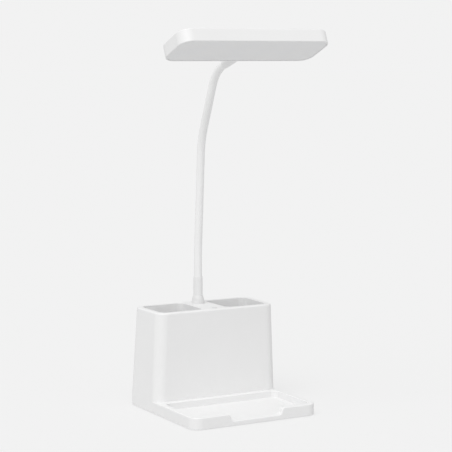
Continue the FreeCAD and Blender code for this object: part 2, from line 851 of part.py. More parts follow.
def make_battery_cell():
    """Make the round battery cell, lying along X, with its raised tip."""
    body = new_body("battery_cell")
    half_length = S.cell_length / 2
    can = new_sketch(body, "YZ_Plane", z=-half_length)
    draw_circle(can, S.cell_radius, cell_centre_y, cell_centre_z)
    pad(body, can, S.cell_length)

    def around_end(edge):
        return edge.BoundBox.XLength < S.fit_gap.value

    round_edges(body, S.cell_edge_chamfer, around_end, kind="Chamfer")
    tip = new_sketch(body, "YZ_Plane", z=half_length)
    draw_circle(tip, S.cell_tip_radius, cell_centre_y, cell_centre_z)
    pad(body, tip, S.cell_tip_height)
    return body


def make_board(label, width, depth, thickness, centre_y, top, places):
    """Make a circuit board with a screw hole at each place."""
    body = new_body(label)
    sketch = new_sketch(body, z=top - thickness)
    draw_rectangle(sketch, width, depth, 0, centre_y)
    pad(body, sketch, thickness)
    holes = draw_circles(new_sketch(body, z=top), S.screw_radius + S.slide_gap, places)
    pocket(body, holes, thickness + S.overrun)
    return body


def make_charging_socket():
    """Make the charging socket: an oval metal shell with a tongue inside, its mouth to the back."""
    body = new_body("charging_socket")
    mouth = base_back - S.socket_inset
    back_plate = new_sketch(body, "XZ_Plane", y=socket_centre_z, z=-mouth)
    draw_rounded(back_plate, S.socket_width, S.socket_height, S.socket_corner)
    pad(body, back_plate, S.socket_length)
    hollow = new_sketch(body, "XZ_Plane", y=socket_centre_z, z=-mouth)
    inner_width = S.socket_width - S.socket_wall * 2
    inner_height = S.socket_height - S.socket_wall * 2
    draw_rounded(hollow, inner_width, inner_height, S.socket_corner - S.socket_wall)
    pocket(body, hollow, S.socket_depth, up=True)
    tongue = new_sketch(body, "XZ_Plane", y=socket_centre_z, z=-(mouth - S.socket_depth))
    draw_rectangle(tongue, S.tongue_width, S.tongue_height)
    pad(body, tongue, S.tongue_length, down=True)
    return body


def make_lead_connector():
    """Make the connector block on the board, under the neck."""
    block = doc.addObject("Part::Box", "lead_connector")
    block.Label = "lead_connector"
    bind(block, "Length", S.connector_width)
    bind(block, "Width", S.connector_depth)
    bind(block, "Height", S.connector_height)
    return place(block, -S.connector_width / 2, neck_y - S.connector_depth / 2, board_top)


def make_lamp_lead():
    """Make the lead that rises from the connector into the neck's ferrule."""
    lead = doc.addObject("Part::Cylinder", "lamp_lead")
    lead.Label = "lamp_lead"
    foot = board_top + S.connector_height
    bind(lead, "Radius", S.lead_radius)
    bind(lead, "Height", S.tower_height + S.ferrule_spigot_height - foot)
    return place(lead, 0, neck_y, foot)


# Power button, its switch and its board
def make_power_button():
    """Make the button: a cap through the deck, a flange under it and a stem over the switch."""
    body = new_body("power_button")
    flange_radius = S.button_radius + S.flange_width
    stem_end = flange_top - S.flange_height - S.stem_length
    top = S.tower_height + S.button_proud
    outline = [
        (ZERO, stem_end),
        (S.stem_radius, stem_end),
        (S.stem_radius, flange_top - S.flange_height),
        (flange_radius, flange_top - S.flange_height),
        (flange_radius, flange_top),
        (S.button_radius, flange_top),
        (S.button_radius, top),
        (ZERO, top),
    ]
    revolve(body, outline)
    round_edges(body, S.button_round, lambda edge: level(edge, top))
    return place(body, 0, button_y, 0)


def make_button_switch():
    """Make the switch under the button's stem."""
    body = new_body("button_switch")
    sketch = new_sketch(body, y=button_y, z=button_board_top)
    draw_rounded(sketch, S.switch_width, S.switch_width, S.switch_corner)
    pad(body, sketch, S.switch_height)
    return body


# Neck foot: what fastens the tube to the deck
def make_neck_ferrule():
    """Make the threaded ferrule with its flange on the deck and its spigot in the tube."""
    body = new_body("neck_ferrule")
    tail = S.deck_thickness + S.neck_boss_height + S.washer_thickness + S.nut_height + S.ferrule_tail
    outline = [
        (S.ferrule_bore, -tail),
        (S.ferrule_radius, -tail),
        (S.ferrule_radius, ZERO),
        (S.ferrule_flange_radius, ZERO),
        (S.ferrule_flange_radius, S.ferrule_flange_height),
        (S.core_radius, S.ferrule_flange_height),
        (S.core_radius, S.ferrule_spigot_height),
        (S.ferrule_bore, S.ferrule_spigot_height),
    ]
    revolve(body, outline)
    return place(body, 0, neck_y, S.tower_height)


def make_ring(label, inner, outer, height, y, z):
    """Make a plain ring about a vertical axis."""
    body = new_body(label)
    revolve(body, [(inner, ZERO), (outer, ZERO), (outer, height), (inner, height)])
    return place(body, 0, y, z)


def make_neck_nut():
    """Make the hexagonal nut on the ferrule, under the washer."""
    hexagon = doc.addObject("Part::Prism", "nut_hexagon")
    hexagon.Polygon = 6
    bind(hexagon, "Circumradius", S.nut_across_flats / math.sqrt(3))
    bind(hexagon, "Height", S.nut_height)
    bore = doc.addObject("Part::Cylinder", "nut_bore")
    bind(bore, "Radius", S.ferrule_radius + S.fit_gap)
    bind(bore, "Height", S.nut_height + S.overrun * 2)
    place(bore, 0, 0, -S.overrun)
    nut = doc.addObject("Part::Cut", "neck_nut")
    nut.Label = "neck_nut"
    nut.Base = hexagon
    nut.Tool = bore
    return place(nut, 0, neck_y, washer_bottom - S.nut_height)


def make_bell_collar():
    """Make the conical collar that hides the flange."""
    body = new_body("bell_collar")
    bore = S.tube_radius + S.seat_gap
    flange_room = S.ferrule_flange_radius + S.seat_gap
    ceiling = S.ferrule_flange_height + S.seat_gap
    outline = [
        (flange_room, ZERO),
        (S.bell_radius, ZERO),
        (S.bell_radius, S.bell_rim),
        (cuff_radius + S.bell_step, S.bell_height),
        (bore, S.bell_height),
        (bore, ceiling),
        (flange_room, ceiling),
    ]
    revolve(body, outline)
    return place(body, 0, neck_y, S.tower_height)


def make_neck_cuff():
    """Make the cuff around the foot of the tube."""
    body = make_ring(
        "neck_cuff", S.tube_radius + S.seat_gap, cuff_radius, S.cuff_height,
        neck_y, S.tower_height + S.bell_height,
    )

    def outer_top(edge):
        wide = edge.BoundBox.XLength > (cuff_radius * 2 - S.seat_gap).value
        return level(edge, S.cuff_height) and wide

    round_edges(body, S.cuff_round, outer_top)
    return body


def make_neck_root():
    """Make the fixed foot of the tube, from the flange up to the first ball."""
    body = new_body("neck_root")
    foot = S.ferrule_flange_height + S.fit_gap
    rod = draw_circle(new_sketch(body, z=foot), S.tube_radius)
    pad(body, rod, S.foot_joint_height - foot)
    ball(body, "Additive", S.tube_radius, z=S.foot_joint_height.value)
    bore = draw_circle(new_sketch(body, z=foot), S.core_radius + S.fit_gap)
    pocket(body, bore, S.foot_joint_height - S.core_end_wall - foot, up=True)
    return place(body, 0, neck_y, S.tower_height)


def make_neck_root_core():
    """Make the steel core in the foot of the tube, above the ferrule's spigot."""
    foot = S.ferrule_spigot_height + S.seat_gap
    height = S.foot_joint_height - S.core_end_wall - foot - S.fit_gap
    core = doc.addObject("Part::Cylinder", "neck_root_core")
    core.Label = "neck_root_core"
    bind(core, "Radius", S.core_radius)
    bind(core, "Height", height)
    return place(core, 0, neck_y, S.tower_height + foot)


# Neck sections: each starts in a socket over the ball below it and ends in a ball of its own
def section_plans():
    """List the moving sections: straight length, bend radius, bend angle and straight length."""
    middle = (S.middle_bend_radius, S.middle_bend_angle, S.upper_joint_rise)
    upper = (S.upper_bend_radius, S.upper_bend_angle, S.upper_end_rise)
    return [
        ("neck_section_1", S.first_rise, S.first_bend_radius, S.first_bend_angle, S.low_joint_rise),
        ("neck_section_2", S.middle_joint_rise - S.low_joint_rise, None, None, None),
        ("neck_section_3", S.long_rise - S.middle_joint_rise, *middle),
        ("neck_section_4", S.upper_rise - S.upper_joint_rise, *upper),
    ]


def path_end(plan, trim=0):
    """Return the far end of a section's path in its own YZ plane, and how far it has turned."""
    _, first, radius, angle, last = plan
    if radius is None:
        return FreeCAD.Vector(0, 0, first.value - trim), 0
    turn = math.radians(angle.value)
    forward = radius.value * (1 - math.cos(turn)) + (last.value - trim) * math.sin(turn)
    rise = first.value + radius.value * math.sin(turn) + (last.value - trim) * math.cos(turn)
    return FreeCAD.Vector(0, -forward, rise), angle.value


def draw_path(sketch, plan, start, trim):
    """Draw a section's centre line: up, round the bend towards the front, and on."""
    _, first, radius, angle, last = plan
    if radius is None:
        end = first - trim
        sketch.addGeometry(Part.LineSegment(vector(0, start), vector(0, end)), False)
        pin(sketch, 0, 1, 0, start)
        pin(sketch, 0, 2, 0, end)
        return sketch
    turn = math.radians(angle.value)
    centre = vector(-radius, first)
    bend_end = centre + FreeCAD.Vector(math.cos(turn), math.sin(turn), 0) * radius.value
    last_end = bend_end + FreeCAD.Vector(-math.sin(turn), math.cos(turn), 0) * (last - trim).value
    circle = Part.Circle(centre, FreeCAD.Vector(0, 0, 1), radius.value)
    sketch.addGeometry(Part.LineSegment(vector(0, start), vector(0, first)), False)
    sketch.addGeometry(Part.ArcOfCircle(circle, 0, turn), False)
    sketch.addGeometry(Part.LineSegment(bend_end, last_end), False)
    pin(sketch, 0, 1, 0, start)
    pin(sketch, 0, 2, 0, first)
    constrain(sketch, "Tangent", 0, 2, 1, 1)
    constrain(sketch, "Radius", 1, size=radius)
    constrain(sketch, "Tangent", 1, 2, 2, 1)
    constrain(sketch, "Distance", 2, size=last - trim)
    index = sketch.addConstraint(Sketcher.Constraint("Angle", 2, math.pi / 2 + turn))
    sketch.setExpression(f"Constraints[{index}]", f"90 deg + {angle.words} * 1 deg")
    return sketch


def sweep(body, kind, plan, radius, start, trim):
    """Sweep a circle along a section's centre line."""
    profile = draw_circle(new_sketch(body, z=start), radius)
    path = draw_path(new_sketch(body, "YZ_Plane"), plan, as_size(start), as_size(trim))
    feature = body.newObject(f"PartDesign::{kind}Pipe", "sweep")
    feature.Profile = profile
    feature.Spine = path
    return feature


def core_start():
    """Return where a section's core starts, clear of the socket."""
    return S.tube_radius + S.ball_gap + S.core_end_wall


def make_section(plan, placement):
    """Make one section's outer tube with its socket, its ball and the hollow for the core."""
    body = new_body(plan[0])
    sweep(body, "Additive", plan, S.tube_radius, 0, 0)
    end, _ = path_end(plan)
    ball(body, "Additive", S.tube_radius, end.y, end.z)
    before = volume_of(body)
    ball(body, "Subtractive", S.tube_radius + S.ball_gap)
    check_cut(body, before)
    before = volume_of(body)
    sweep(body, "Subtractive", plan, S.core_radius + S.fit_gap, core_start(), S.core_end_wall)
    check_cut(body, before)
    body.Placement = placement
    return body


def make_section_core(plan, placement):
    """Make the steel core inside one section."""
    body = new_body(f"{plan[0]}_core")
    sweep(body, "Additive", plan, S.core_radius, core_start() + S.fit_gap, S.core_end_wall + S.fit_gap)
    body.Placement = placement
    return body


def lean_placement(y, z, lean):
    """Return a placement whose Z axis leans forward by an angle."""
    return FreeCAD.Placement(FreeCAD.Vector(0, y, z), FreeCAD.Rotation(FreeCAD.Vector(1, 0, 0), lean))


def make_neck():
    """Make the moving sections, and return them with the placement of the last ball."""
    placement = lean_placement(neck_y.value, (S.tower_height + S.foot_joint_height).value, 0)
    pieces = []
    for plan in section_plans():
        pieces.append(make_section(plan, placement))
        pieces.append(make_section_core(plan, placement))
        print(plan[0], "starts at", placement.Base, "leaning", math.degrees(placement.Rotation.Angle))
        end, turned = path_end(plan)
        placement = placement * lean_placement(end.y, end.z, turned)
    print("the collar turns about", placement.Base, "leaning", math.degrees(placement.Rotation.Angle))
    return pieces, placement


# Head: its frame has the middle of the rear side at the origin and the front at -Y
def make_head_collar(placement):
    """Make the tapered collar between the neck and the head."""
    body = new_body("head_collar")
    bore = S.core_radius + S.seat_gap
    bore_start = core_start()
    outline = [
        (ZERO, S.collar_start),
        (S.collar_thin_radius, S.collar_start),
        (S.collar_wide_radius, S.collar_length),
        (bore, S.collar_length),
        (bore, bore_start),
        (ZERO, bore_start),
    ]
    revolve(body, outline)
    thin = S.collar_thin_radius.value

    def thin_rim(edge):
        return level(edge, S.collar_start) and edge.BoundBox.XLength > thin

    round_edges(body, S.collar_round, thin_rim)
    before = volume_of(body)
    ball(body, "Subtractive", S.tube_radius + S.ball_gap)
    check_cut(body, before)
    body.Placement = placement
    return body


def make_head_stem(placement):
    """Make the steel stem that runs through the collar into the head."""
    body = new_body("head_stem")
    start = core_start() + S.fit_gap
    end = S.collar_length + S.stem_reach
    bore = S.core_radius - S.stem_wall
    outline = [(bore, start), (S.core_radius, start), (S.core_radius, end), (bore, end)]
    revolve(body, outline)
    body.Placement = placement
    return body


half_thickness = S.head_thickness / 2
inner_top = half_thickness - S.head_wall
diffuser_top = S.diffuser_inset + S.diffuser_thickness - half_thickness
side_wall = S.diffuser_rim + S.diffuser_ledge
clamp_centre_y = -(side_wall + S.seat_gap + S.clamp_depth / 2)
clamp_underside = -(S.clamp_height + S.seat_gap)
light_board_top = inner_top - S.light_boss_height
light_board_underside = light_board_top - S.light_board_thickness
light_board_length = S.head_length - side_wall * 2 - S.light_board_end_gap * 2
light_board_front = side_wall + S.light_board_front_gap - S.head_depth
light_board_back = clamp_centre_y - S.clamp_depth / 2 - S.light_board_back_gap
light_board_depth = light_board_back - light_board_front
light_board_y = (light_board_front + light_board_back) / 2
light_hole_depth = S.light_boss_height + S.head_wall / 2
CLAMP_SCREW_PLACES = [
    (-S.clamp_screw_spacing / 2, clamp_centre_y),
    (S.clamp_screw_spacing / 2, clamp_centre_y),
]
LIGHT_BOSS_PLACES = four_corners(light_board_length, light_board_depth, S.light_boss_inset, light_board_y)


def make_head_shell(placement):
    """Make the head's shell: a shallow tray with its open side down, and what it carries inside."""
    body = new_body("head_shell")
    middle = -S.head_depth / 2
    outer = new_sketch(body, y=middle, z=-half_thickness)
    draw_rounded(outer, S.head_length, S.head_depth, S.head_corner)
    pad(body, outer, S.head_thickness)
    round_edges(body, S.head_top_round, lambda edge: level(edge, half_thickness))
    round_edges(body, S.head_edge_round, lambda edge: level(edge, -half_thickness))

    seat = new_sketch(body, y=middle, z=-half_thickness)
    rim = S.diffuser_rim * 2
    draw_rounded(seat, S.head_length - rim, S.head_depth - rim, S.head_corner - S.diffuser_rim)
    pocket(body, seat, diffuser_top + half_thickness, up=True)
    room = new_sketch(body, y=middle, z=diffuser_top)
    inset = side_wall * 2
    draw_rounded(room, S.head_length - inset, S.head_depth - inset, S.head_corner - side_wall)
    pocket(body, room, inner_top - diffuser_top, up=True)

    cradle = new_sketch(body)
    draw_rectangle(cradle, S.clamp_width, S.clamp_depth + side_wall, 0, clamp_centre_y + side_wall / 2)
    pad(body, cradle, inner_top)
    channel = draw_circle(new_sketch(body, "XZ_Plane", z=-S.overrun), S.core_radius + S.fit_gap)
    pocket(body, channel, S.stem_reach + S.overrun * 2, up=True)
    bosses = draw_circles(new_sketch(body, z=light_board_top), S.light_boss_radius, LIGHT_BOSS_PLACES)
    pad(body, bosses, S.light_boss_height)
    boss_holes = new_sketch(body, z=light_board_top)
    draw_circles(boss_holes, S.screw_radius + S.fit_gap, LIGHT_BOSS_PLACES)
    pocket(body, boss_holes, light_hole_depth, up=True)
    clamp_holes = draw_circles(new_sketch(body), S.screw_radius + S.fit_gap, CLAMP_SCREW_PLACES)
    pocket(body, clamp_holes, inner_top, up=True)
    body.Placement = placement
    return body


def make_diffuser(placement):
    """Make the milky panel that closes the head."""
    gap = S.diffuser_rim + S.seat_gap
    body = make_plate(
        "diffuser", S.head_length - gap * 2, S.head_depth - gap * 2, S.diffuser_thickness,
        S.head_corner - gap, -S.head_depth / 2, S.diffuser_inset - half_thickness,
    )
    body.Placement = placement
    return body


def make_light_board(placement):
    """Make the board that carries the light chips."""
    body = make_board(
        "light_board", light_board_length, light_board_depth, S.light_board_thickness,
        light_board_y, light_board_top, LIGHT_BOSS_PLACES,
    )
    body.Placement = placement
    return body


def make_light_chips(placement):
    """Make the light chips in two rows under their board."""
    count = COUNTS["chips_in_row"]
    chip_pitch = (light_board_length - S.chip_end_inset * 2) / (S.chips_in_row - 1)
    chips = []
    for row in (as_size(-1), as_size(1)):
        for step in range(count):
            chip = doc.addObject("Part::Box", "light_chip")
            bind(chip, "Length", S.chip_length)
            bind(chip, "Width", S.chip_width)
            bind(chip, "Height", S.chip_height)
            x = chip_pitch * (step - (count - 1) / 2) - S.chip_length / 2
            y = light_board_y + row * S.chip_row_spacing / 2 - S.chip_width / 2
            place(chip, x, y, light_board_underside - S.chip_height)
            chips.append(chip)
    group = make_group("light_chips", chips)
    group.Placement = placement
    return group


def make_stem_clamp(placement):
    """Make the block that holds the stem against the shell's cradle."""
    body = new_body("stem_clamp")
    sketch = new_sketch(body, z=clamp_underside)
    draw_rectangle(sketch, S.clamp_width, S.clamp_depth, 0, clamp_centre_y)
    pad(body, sketch, S.clamp_height)
    channel = draw_circle(new_sketch(body, "XZ_Plane", z=-S.overrun), S.core_radius + S.fit_gap)
    pocket(body, channel, S.stem_reach + S.overrun * 2, up=True)
    holes = new_sketch(body, z=clamp_underside)
    draw_circles(holes, S.screw_radius + S.slide_gap, CLAMP_SCREW_PLACES)
    pocket(body, holes, S.clamp_height + S.overrun, up=True)
    seats = new_sketch(body, z=clamp_underside)
    draw_circles(seats, S.screw_head_radius + S.slide_gap, CLAMP_SCREW_PLACES)
    pocket(body, seats, S.screw_head_height, up=True)
    body.Placement = placement
    return body


def make_head(joint):
    """Make the collar and everything in the head, which move together."""
    front_up = FreeCAD.Rotation(FreeCAD.Vector(1, 0, 0), -90)
    at_head = joint * FreeCAD.Placement(FreeCAD.Vector(0, 0, S.collar_length.value), front_up)
    print("head frame at", at_head.Base)
    light_screws = make_small_screws(
        "light_board_screws", LIGHT_BOSS_PLACES, S.light_board_thickness + S.light_boss_height,
        light_board_underside - S.screw_head_height, True,
    )
    clamp_screws = make_small_screws(
        "clamp_screws", CLAMP_SCREW_PLACES, S.clamp_screw_length, clamp_underside, True,
    )
    light_screws.Placement = at_head
    clamp_screws.Placement = at_head
    return [
        make_head_collar(joint),
        make_head_stem(joint),
        make_head_shell(at_head),
        make_diffuser(at_head),
        make_light_board(at_head),
        make_light_chips(at_head),
        light_screws,
        make_stem_clamp(at_head),
        clamp_screws,
    ]


def make_base():
    """Make everything that stays on the table, and the button."""
    control_board = make_board(
        "control_board", S.board_width, S.board_depth, S.board_thickness,
        board_centre_y, board_top, BOARD_POST_PLACES,
    )
    button_board = make_board(
        "button_board", button_board_width, S.button_board_depth, S.board_thickness,
        button_y, button_board_top, BUTTON_POST_PLACES,
    )
    button_screw_heads = button_board_top - S.board_thickness - S.screw_head_height
    ballast = make_plate(
        "ballast_plate", room_width - S.ballast_side_gap * 2, room_depth - S.ballast_end_gap * 2,
        S.ballast_thickness, S.ballast_corner, inner_centre_y, cover_top,
    )
    washer = make_ring(
        "neck_washer", S.ferrule_radius + S.seat_gap, S.washer_radius, S.washer_thickness,
        neck_y, washer_bottom,
    )
    pieces = [
        make_housing(),
        make_bottom_cover(),
        make_cover_screws(),
        ballast,
        make_inner_frame(),
        make_battery_cell(),
        control_board,
        make_small_screws(
            "control_board_screws", BOARD_POST_PLACES, S.screw_length,
            board_top + S.screw_head_height, False,
        ),
        make_charging_socket(),
        make_lead_connector(),
        make_lamp_lead(),
        make_power_button(),
        make_button_switch(),
        button_board,
        make_small_screws(
            "button_board_screws", BUTTON_POST_PLACES, S.screw_length, button_screw_heads, True,
        ),
        make_neck_ferrule(),
        washer,
        make_neck_nut(),
        make_bell_collar(),
        make_neck_cuff(),
        make_neck_root(),
        make_neck_root_core(),
    ]
    feet = [make_foot(label, x, y) for label, (x, y) in FOOT_PLACES.items()]
    return pieces + feet


def check_and_write(pieces):
    """Stop at anything that failed, then write each sub-part to its own file."""
    doc.recompute()
    failed = [thing.Name for thing in doc.Objects if {"Invalid", "Error"} & set(thing.State)]
    if failed:
        raise RuntimeError(f"these objects failed: {failed}")
    for piece in pieces:
        if piece.Shape.isNull() or not piece.Shape.isValid():
            raise RuntimeError(f"{piece.Label} has no valid shape")
    for piece in pieces:
        piece.Shape.exportStep(f"parts/{piece.Label}.step")
        print(piece.Label, len(piece.Shape.Solids), round(piece.Shape.Volume, 1))


base_pieces = make_base()
neck_pieces, collar_joint = make_neck()
check_and_write(base_pieces + neck_pieces + make_head(collar_joint))
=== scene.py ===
"""Looks of the desk lamp on its square base: the pieces' finishes, the neck's sleeve, and the studio.

Everything is in metres in the lamp's own frame: +Z up, the tray towards -Y, the neck at the back.
"""
import json
import logging
import math
from abc import ABC, abstractmethod
from dataclasses import dataclass, field
from enum import Enum

import bmesh
import bpy
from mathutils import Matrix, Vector


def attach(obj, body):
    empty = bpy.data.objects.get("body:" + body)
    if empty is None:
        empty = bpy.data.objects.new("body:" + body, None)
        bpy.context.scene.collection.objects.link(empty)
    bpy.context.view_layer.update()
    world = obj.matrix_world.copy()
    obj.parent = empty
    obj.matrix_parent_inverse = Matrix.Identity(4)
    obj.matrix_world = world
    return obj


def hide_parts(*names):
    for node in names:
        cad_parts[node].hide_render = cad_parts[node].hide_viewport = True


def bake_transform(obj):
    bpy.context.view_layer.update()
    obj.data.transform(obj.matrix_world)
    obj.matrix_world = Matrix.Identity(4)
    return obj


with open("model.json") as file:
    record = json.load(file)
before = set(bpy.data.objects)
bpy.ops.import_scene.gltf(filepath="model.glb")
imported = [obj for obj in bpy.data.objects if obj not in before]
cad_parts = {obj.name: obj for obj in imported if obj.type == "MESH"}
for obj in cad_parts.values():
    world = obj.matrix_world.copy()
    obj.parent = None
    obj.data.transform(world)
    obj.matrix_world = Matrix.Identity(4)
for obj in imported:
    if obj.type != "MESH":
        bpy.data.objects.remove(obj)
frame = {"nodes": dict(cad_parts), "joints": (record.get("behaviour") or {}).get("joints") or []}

logging.basicConfig(level=logging.INFO, format="%(message)s")
log = logging.getLogger("desk_lamp")

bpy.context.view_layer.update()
NODES = frame["nodes"]

Colour = tuple[float, float, float]


class Grain(Enum):
    """How deep the fine texture of a moulded face is, in metres."""

    POLISHED = 0.000002
    SATIN = 0.000008
    ERODED = 0.00002


class Metal(Enum):
    """The metals inside the lamp, by their colour."""

    ZINC = (0.62, 0.63, 0.65)
    NICKEL = (0.66, 0.64, 0.60)


# Node building
NOISE_LOW = 0.3
NOISE_HIGH = 0.7


class Tree:
    """A thin wrapper round a material's node tree."""

    def __init__(self, name: str) -> None:
        """Start a material with only its shader and its output.

        Args:
            name: the material's name.
        """
        self.material = bpy.data.materials.new(name)
        self.material.use_nodes = True
        self.nodes = self.material.node_tree.nodes
        self.links = self.material.node_tree.links
        self.shader = self.nodes["Principled BSDF"]
        self.coordinates = self.nodes.new("ShaderNodeTexCoord").outputs["Object"]

    def link(self, start: bpy.types.NodeSocket, end: bpy.types.NodeSocket) -> None:
        """Join two sockets."""
        self.links.new(start, end)

    def stretched(self, scale: tuple[float, float, float]) -> bpy.types.NodeSocket:
        """Return object coordinates with a scale of their own along each axis.

        Args:
            scale: the factor along X, Y and Z.

        Returns:
            The socket with the scaled coordinates.
        """
        mapping = self.nodes.new("ShaderNodeMapping")
        mapping.inputs["Scale"].default_value = scale
        self.link(self.coordinates, mapping.inputs["Vector"])
        return mapping.outputs["Vector"]

    def noise(
        self, size: float, detail: float = 2.0, vector: bpy.types.NodeSocket | None = None
    ) -> bpy.types.NodeSocket:
        """Add a noise whose blotches have a real size.

        Args:
            size: the size of a blotch, in metres.
            detail: how many finer layers lie over it.
            vector: coordinates other than the plain object ones.

        Returns:
            The noise's factor, which lies around a half.
        """
        noise = self.nodes.new("ShaderNodeTexNoise")
        noise.inputs["Scale"].default_value = 1.0 / size
        noise.inputs["Detail"].default_value = detail
        self.link(vector or self.coordinates, noise.inputs["Vector"])
        return noise.outputs["Fac"]

    def spread(self, factor: bpy.types.NodeSocket, low: float, high: float) -> bpy.types.NodeSocket:
        """Map the range that a noise mostly keeps to two values.

        Args:
            factor: the noise.
            low: the value at the noise's low end.
            high: the value at its high end.

        Returns:
            The mapped value.
        """
        mapped = self.nodes.new("ShaderNodeMapRange")
        mapped.inputs["From Min"].default_value = NOISE_LOW
        mapped.inputs["From Max"].default_value = NOISE_HIGH
        mapped.inputs["To Min"].default_value = low
        mapped.inputs["To Max"].default_value = high
        self.link(factor, mapped.inputs["Value"])
        return mapped.outputs["Result"]

    def tint(self, factor: bpy.types.NodeSocket, first: Colour, second: Colour) -> bpy.types.NodeSocket:
        """Mix two colours by a factor.

        Args:
            factor: the share of the second colour.
            first: the first colour.
            second: the second colour.

        Returns:
            The mixed colour.
        """
        mix = self.nodes.new("ShaderNodeMix")
        mix.data_type = "RGBA"
        mix.inputs["A"].default_value = (*first, 1.0)
        mix.inputs["B"].default_value = (*second, 1.0)
        self.link(factor, mix.inputs["Factor"])
        return mix.outputs["Result"]

    def bands(self, pitch: float, share: float) -> bpy.types.NodeSocket:
        """Add hard bands that repeat along X.

        Args:
            pitch: the distance from one band to the next, in metres.
            share: the share of the pitch that is inside a band.

        Returns:
            One inside the bands and zero between them.
        """
        split = self.nodes.new("ShaderNodeSeparateXYZ")
        self.link(self.coordinates, split.inputs["Vector"])
        found = split.outputs["X"]
        for operation, number in (("DIVIDE", pitch), ("FRACT", None), ("LESS_THAN", share)):
            step = self.nodes.new("ShaderNodeMath")
            step.operation = operation
            if number is not None:
                step.inputs[1].default_value = number
            self.link(found, step.inputs[0])
            found = step.outputs["Value"]
        return found

    def paint(self, blotches: bpy.types.NodeSocket, first: Colour, second: Colour) -> None:
        """Colour the surface with two colours that run into each other.

        Args:
            blotches: the noise that says which colour is where.
            first: the colour at its low end.
            second: the colour at its high end.
        """
        self.link(self.tint(self.spread(blotches, 0.0, 1.0), first, second), self.shader.inputs["Base Color"])

    def roughen(self, blotches: bpy.types.NodeSocket, low: float, high: float) -> None:
        """Let the roughness wander between two values.

        Args:
            blotches: the noise that it follows.
            low: the roughness at the noise's low end.
            high: the roughness at its high end.
        """
        self.link(self.spread(blotches, low, high), self.shader.inputs["Roughness"])

    def bump(self, height: bpy.types.NodeSocket, depth: float) -> None:
        """Raise the surface by a height, on top of any bump that is already there.

        Args:
            height: the height's factor.
            depth: the depth in metres from factor 0 to 1.
        """
        bump = self.nodes.new("ShaderNodeBump")
        bump.inputs["Distance"].default_value = depth
        self.link(height, bump.inputs["Height"])
        normal = self.shader.inputs["Normal"]
        if normal.is_linked:
            self.link(normal.links[0].from_socket, bump.inputs["Normal"])
        self.link(bump.outputs["Normal"], normal)

    def socket(self, name: str, value: float | tuple[float, ...]) -> None:
        """Set one of the shader's own inputs."""
        self.shader.inputs[name].default_value = value


# Finishes
def scaled(colour: Colour, share: float) -> Colour:
    """Return a colour with its channels multiplied by a share, up to white."""
    return tuple(min(1.0, channel * share) for channel in colour)


@dataclass(frozen=True)
class Finish(ABC):
    """What a piece is made of and how its surface looks."""

    name: str

    @abstractmethod
    def make(self) -> bpy.types.Material:
        """Build the material."""


@dataclass(frozen=True)
class MouldedPlastic(Finish):
    """Moulded plastic: fine grain, faint flow shading, uneven gloss and a soft ripple."""

    colour: Colour
    roughness: float = 0.42
    grain: Grain = Grain.SATIN
    grain_size: float = 0.0004
    shading: float = 0.012
    flow_size: float = 0.035
    gloss_size: float = 0.006
    glossier: float = 0.03
    duller: float = 0.04
    ripple_size: float = 0.012
    ripple_depth: float = 0.00002

    def make(self) -> bpy.types.Material:
        """Build the material.

        Returns:
            The material.
        """
        tree = Tree(self.name)
        shaded = scaled(self.colour, 1.0 - self.shading)
        tree.paint(tree.noise(self.flow_size, detail=3.0), self.colour, shaded)
        gloss = tree.noise(self.gloss_size, detail=4.0)
        tree.roughen(gloss, self.roughness - self.glossier, self.roughness + self.duller)
        tree.bump(tree.noise(self.grain_size, detail=3.0), self.grain.value)
        tree.bump(tree.noise(self.ripple_size, detail=1.0), self.ripple_depth)
        return tree.material


@dataclass(frozen=True)
class SoftSleeve(Finish):
    """The neck's smooth sleeve: a little rougher than the shell, with a soft bloom at its rim."""

    colour: Colour
    dust_size: float = 0.004
    dust_share: float = 0.985
    gloss_size: float = 0.003
    roughness: tuple[float, float] = (0.46, 0.56)
    grain_size: float = 0.00025
    bloom: float = 0.08
    bloom_roughness: float = 0.4

    def make(self) -> bpy.types.Material:
        """Build the material.

        Returns:
            The material.
        """
        tree = Tree(self.name)
        dusty = scaled(self.colour, self.dust_share)
        tree.paint(tree.noise(self.dust_size, detail=5.0), self.colour, dusty)
        tree.roughen(tree.noise(self.gloss_size, detail=3.0), *self.roughness)
        tree.bump(tree.noise(self.grain_size), Grain.SATIN.value)
        tree.socket("Sheen Weight", self.bloom)
        tree.socket("Sheen Roughness", self.bloom_roughness)
        return tree.material


@dataclass(frozen=True)
class MilkyPanel(Finish):
    """The diffuser: milky plastic that light goes into, with a fine even texture."""

    colour: Colour
    cooler: Colour
    cloud_size: float = 0.02
    gloss_size: float = 0.002
    roughness: tuple[float, float] = (0.36, 0.44)
    milkiness: float = 0.15
    light_reach: float = 0.003
    cell_size: float = 0.0007
    cell_depth: float = 0.00001

    def make(self) -> bpy.types.Material:
        """Build the material.

        Returns:
            The material.
        """
        tree = Tree(self.name)
        tree.paint(tree.noise(self.cloud_size), self.colour, self.cooler)
        tree.roughen(tree.noise(self.gloss_size), *self.roughness)
        tree.socket("Subsurface Weight", self.milkiness)
        tree.socket("Subsurface Radius", (self.light_reach,) * 3)
        tree.socket("Subsurface Scale", 1.0)
        cells = tree.nodes.new("ShaderNodeTexVoronoi")
        cells.inputs["Scale"].default_value = 1.0 / self.cell_size
        tree.link(tree.coordinates, cells.inputs["Vector"])
        tree.bump(cells.outputs["Distance"], self.cell_depth)
        return tree.material


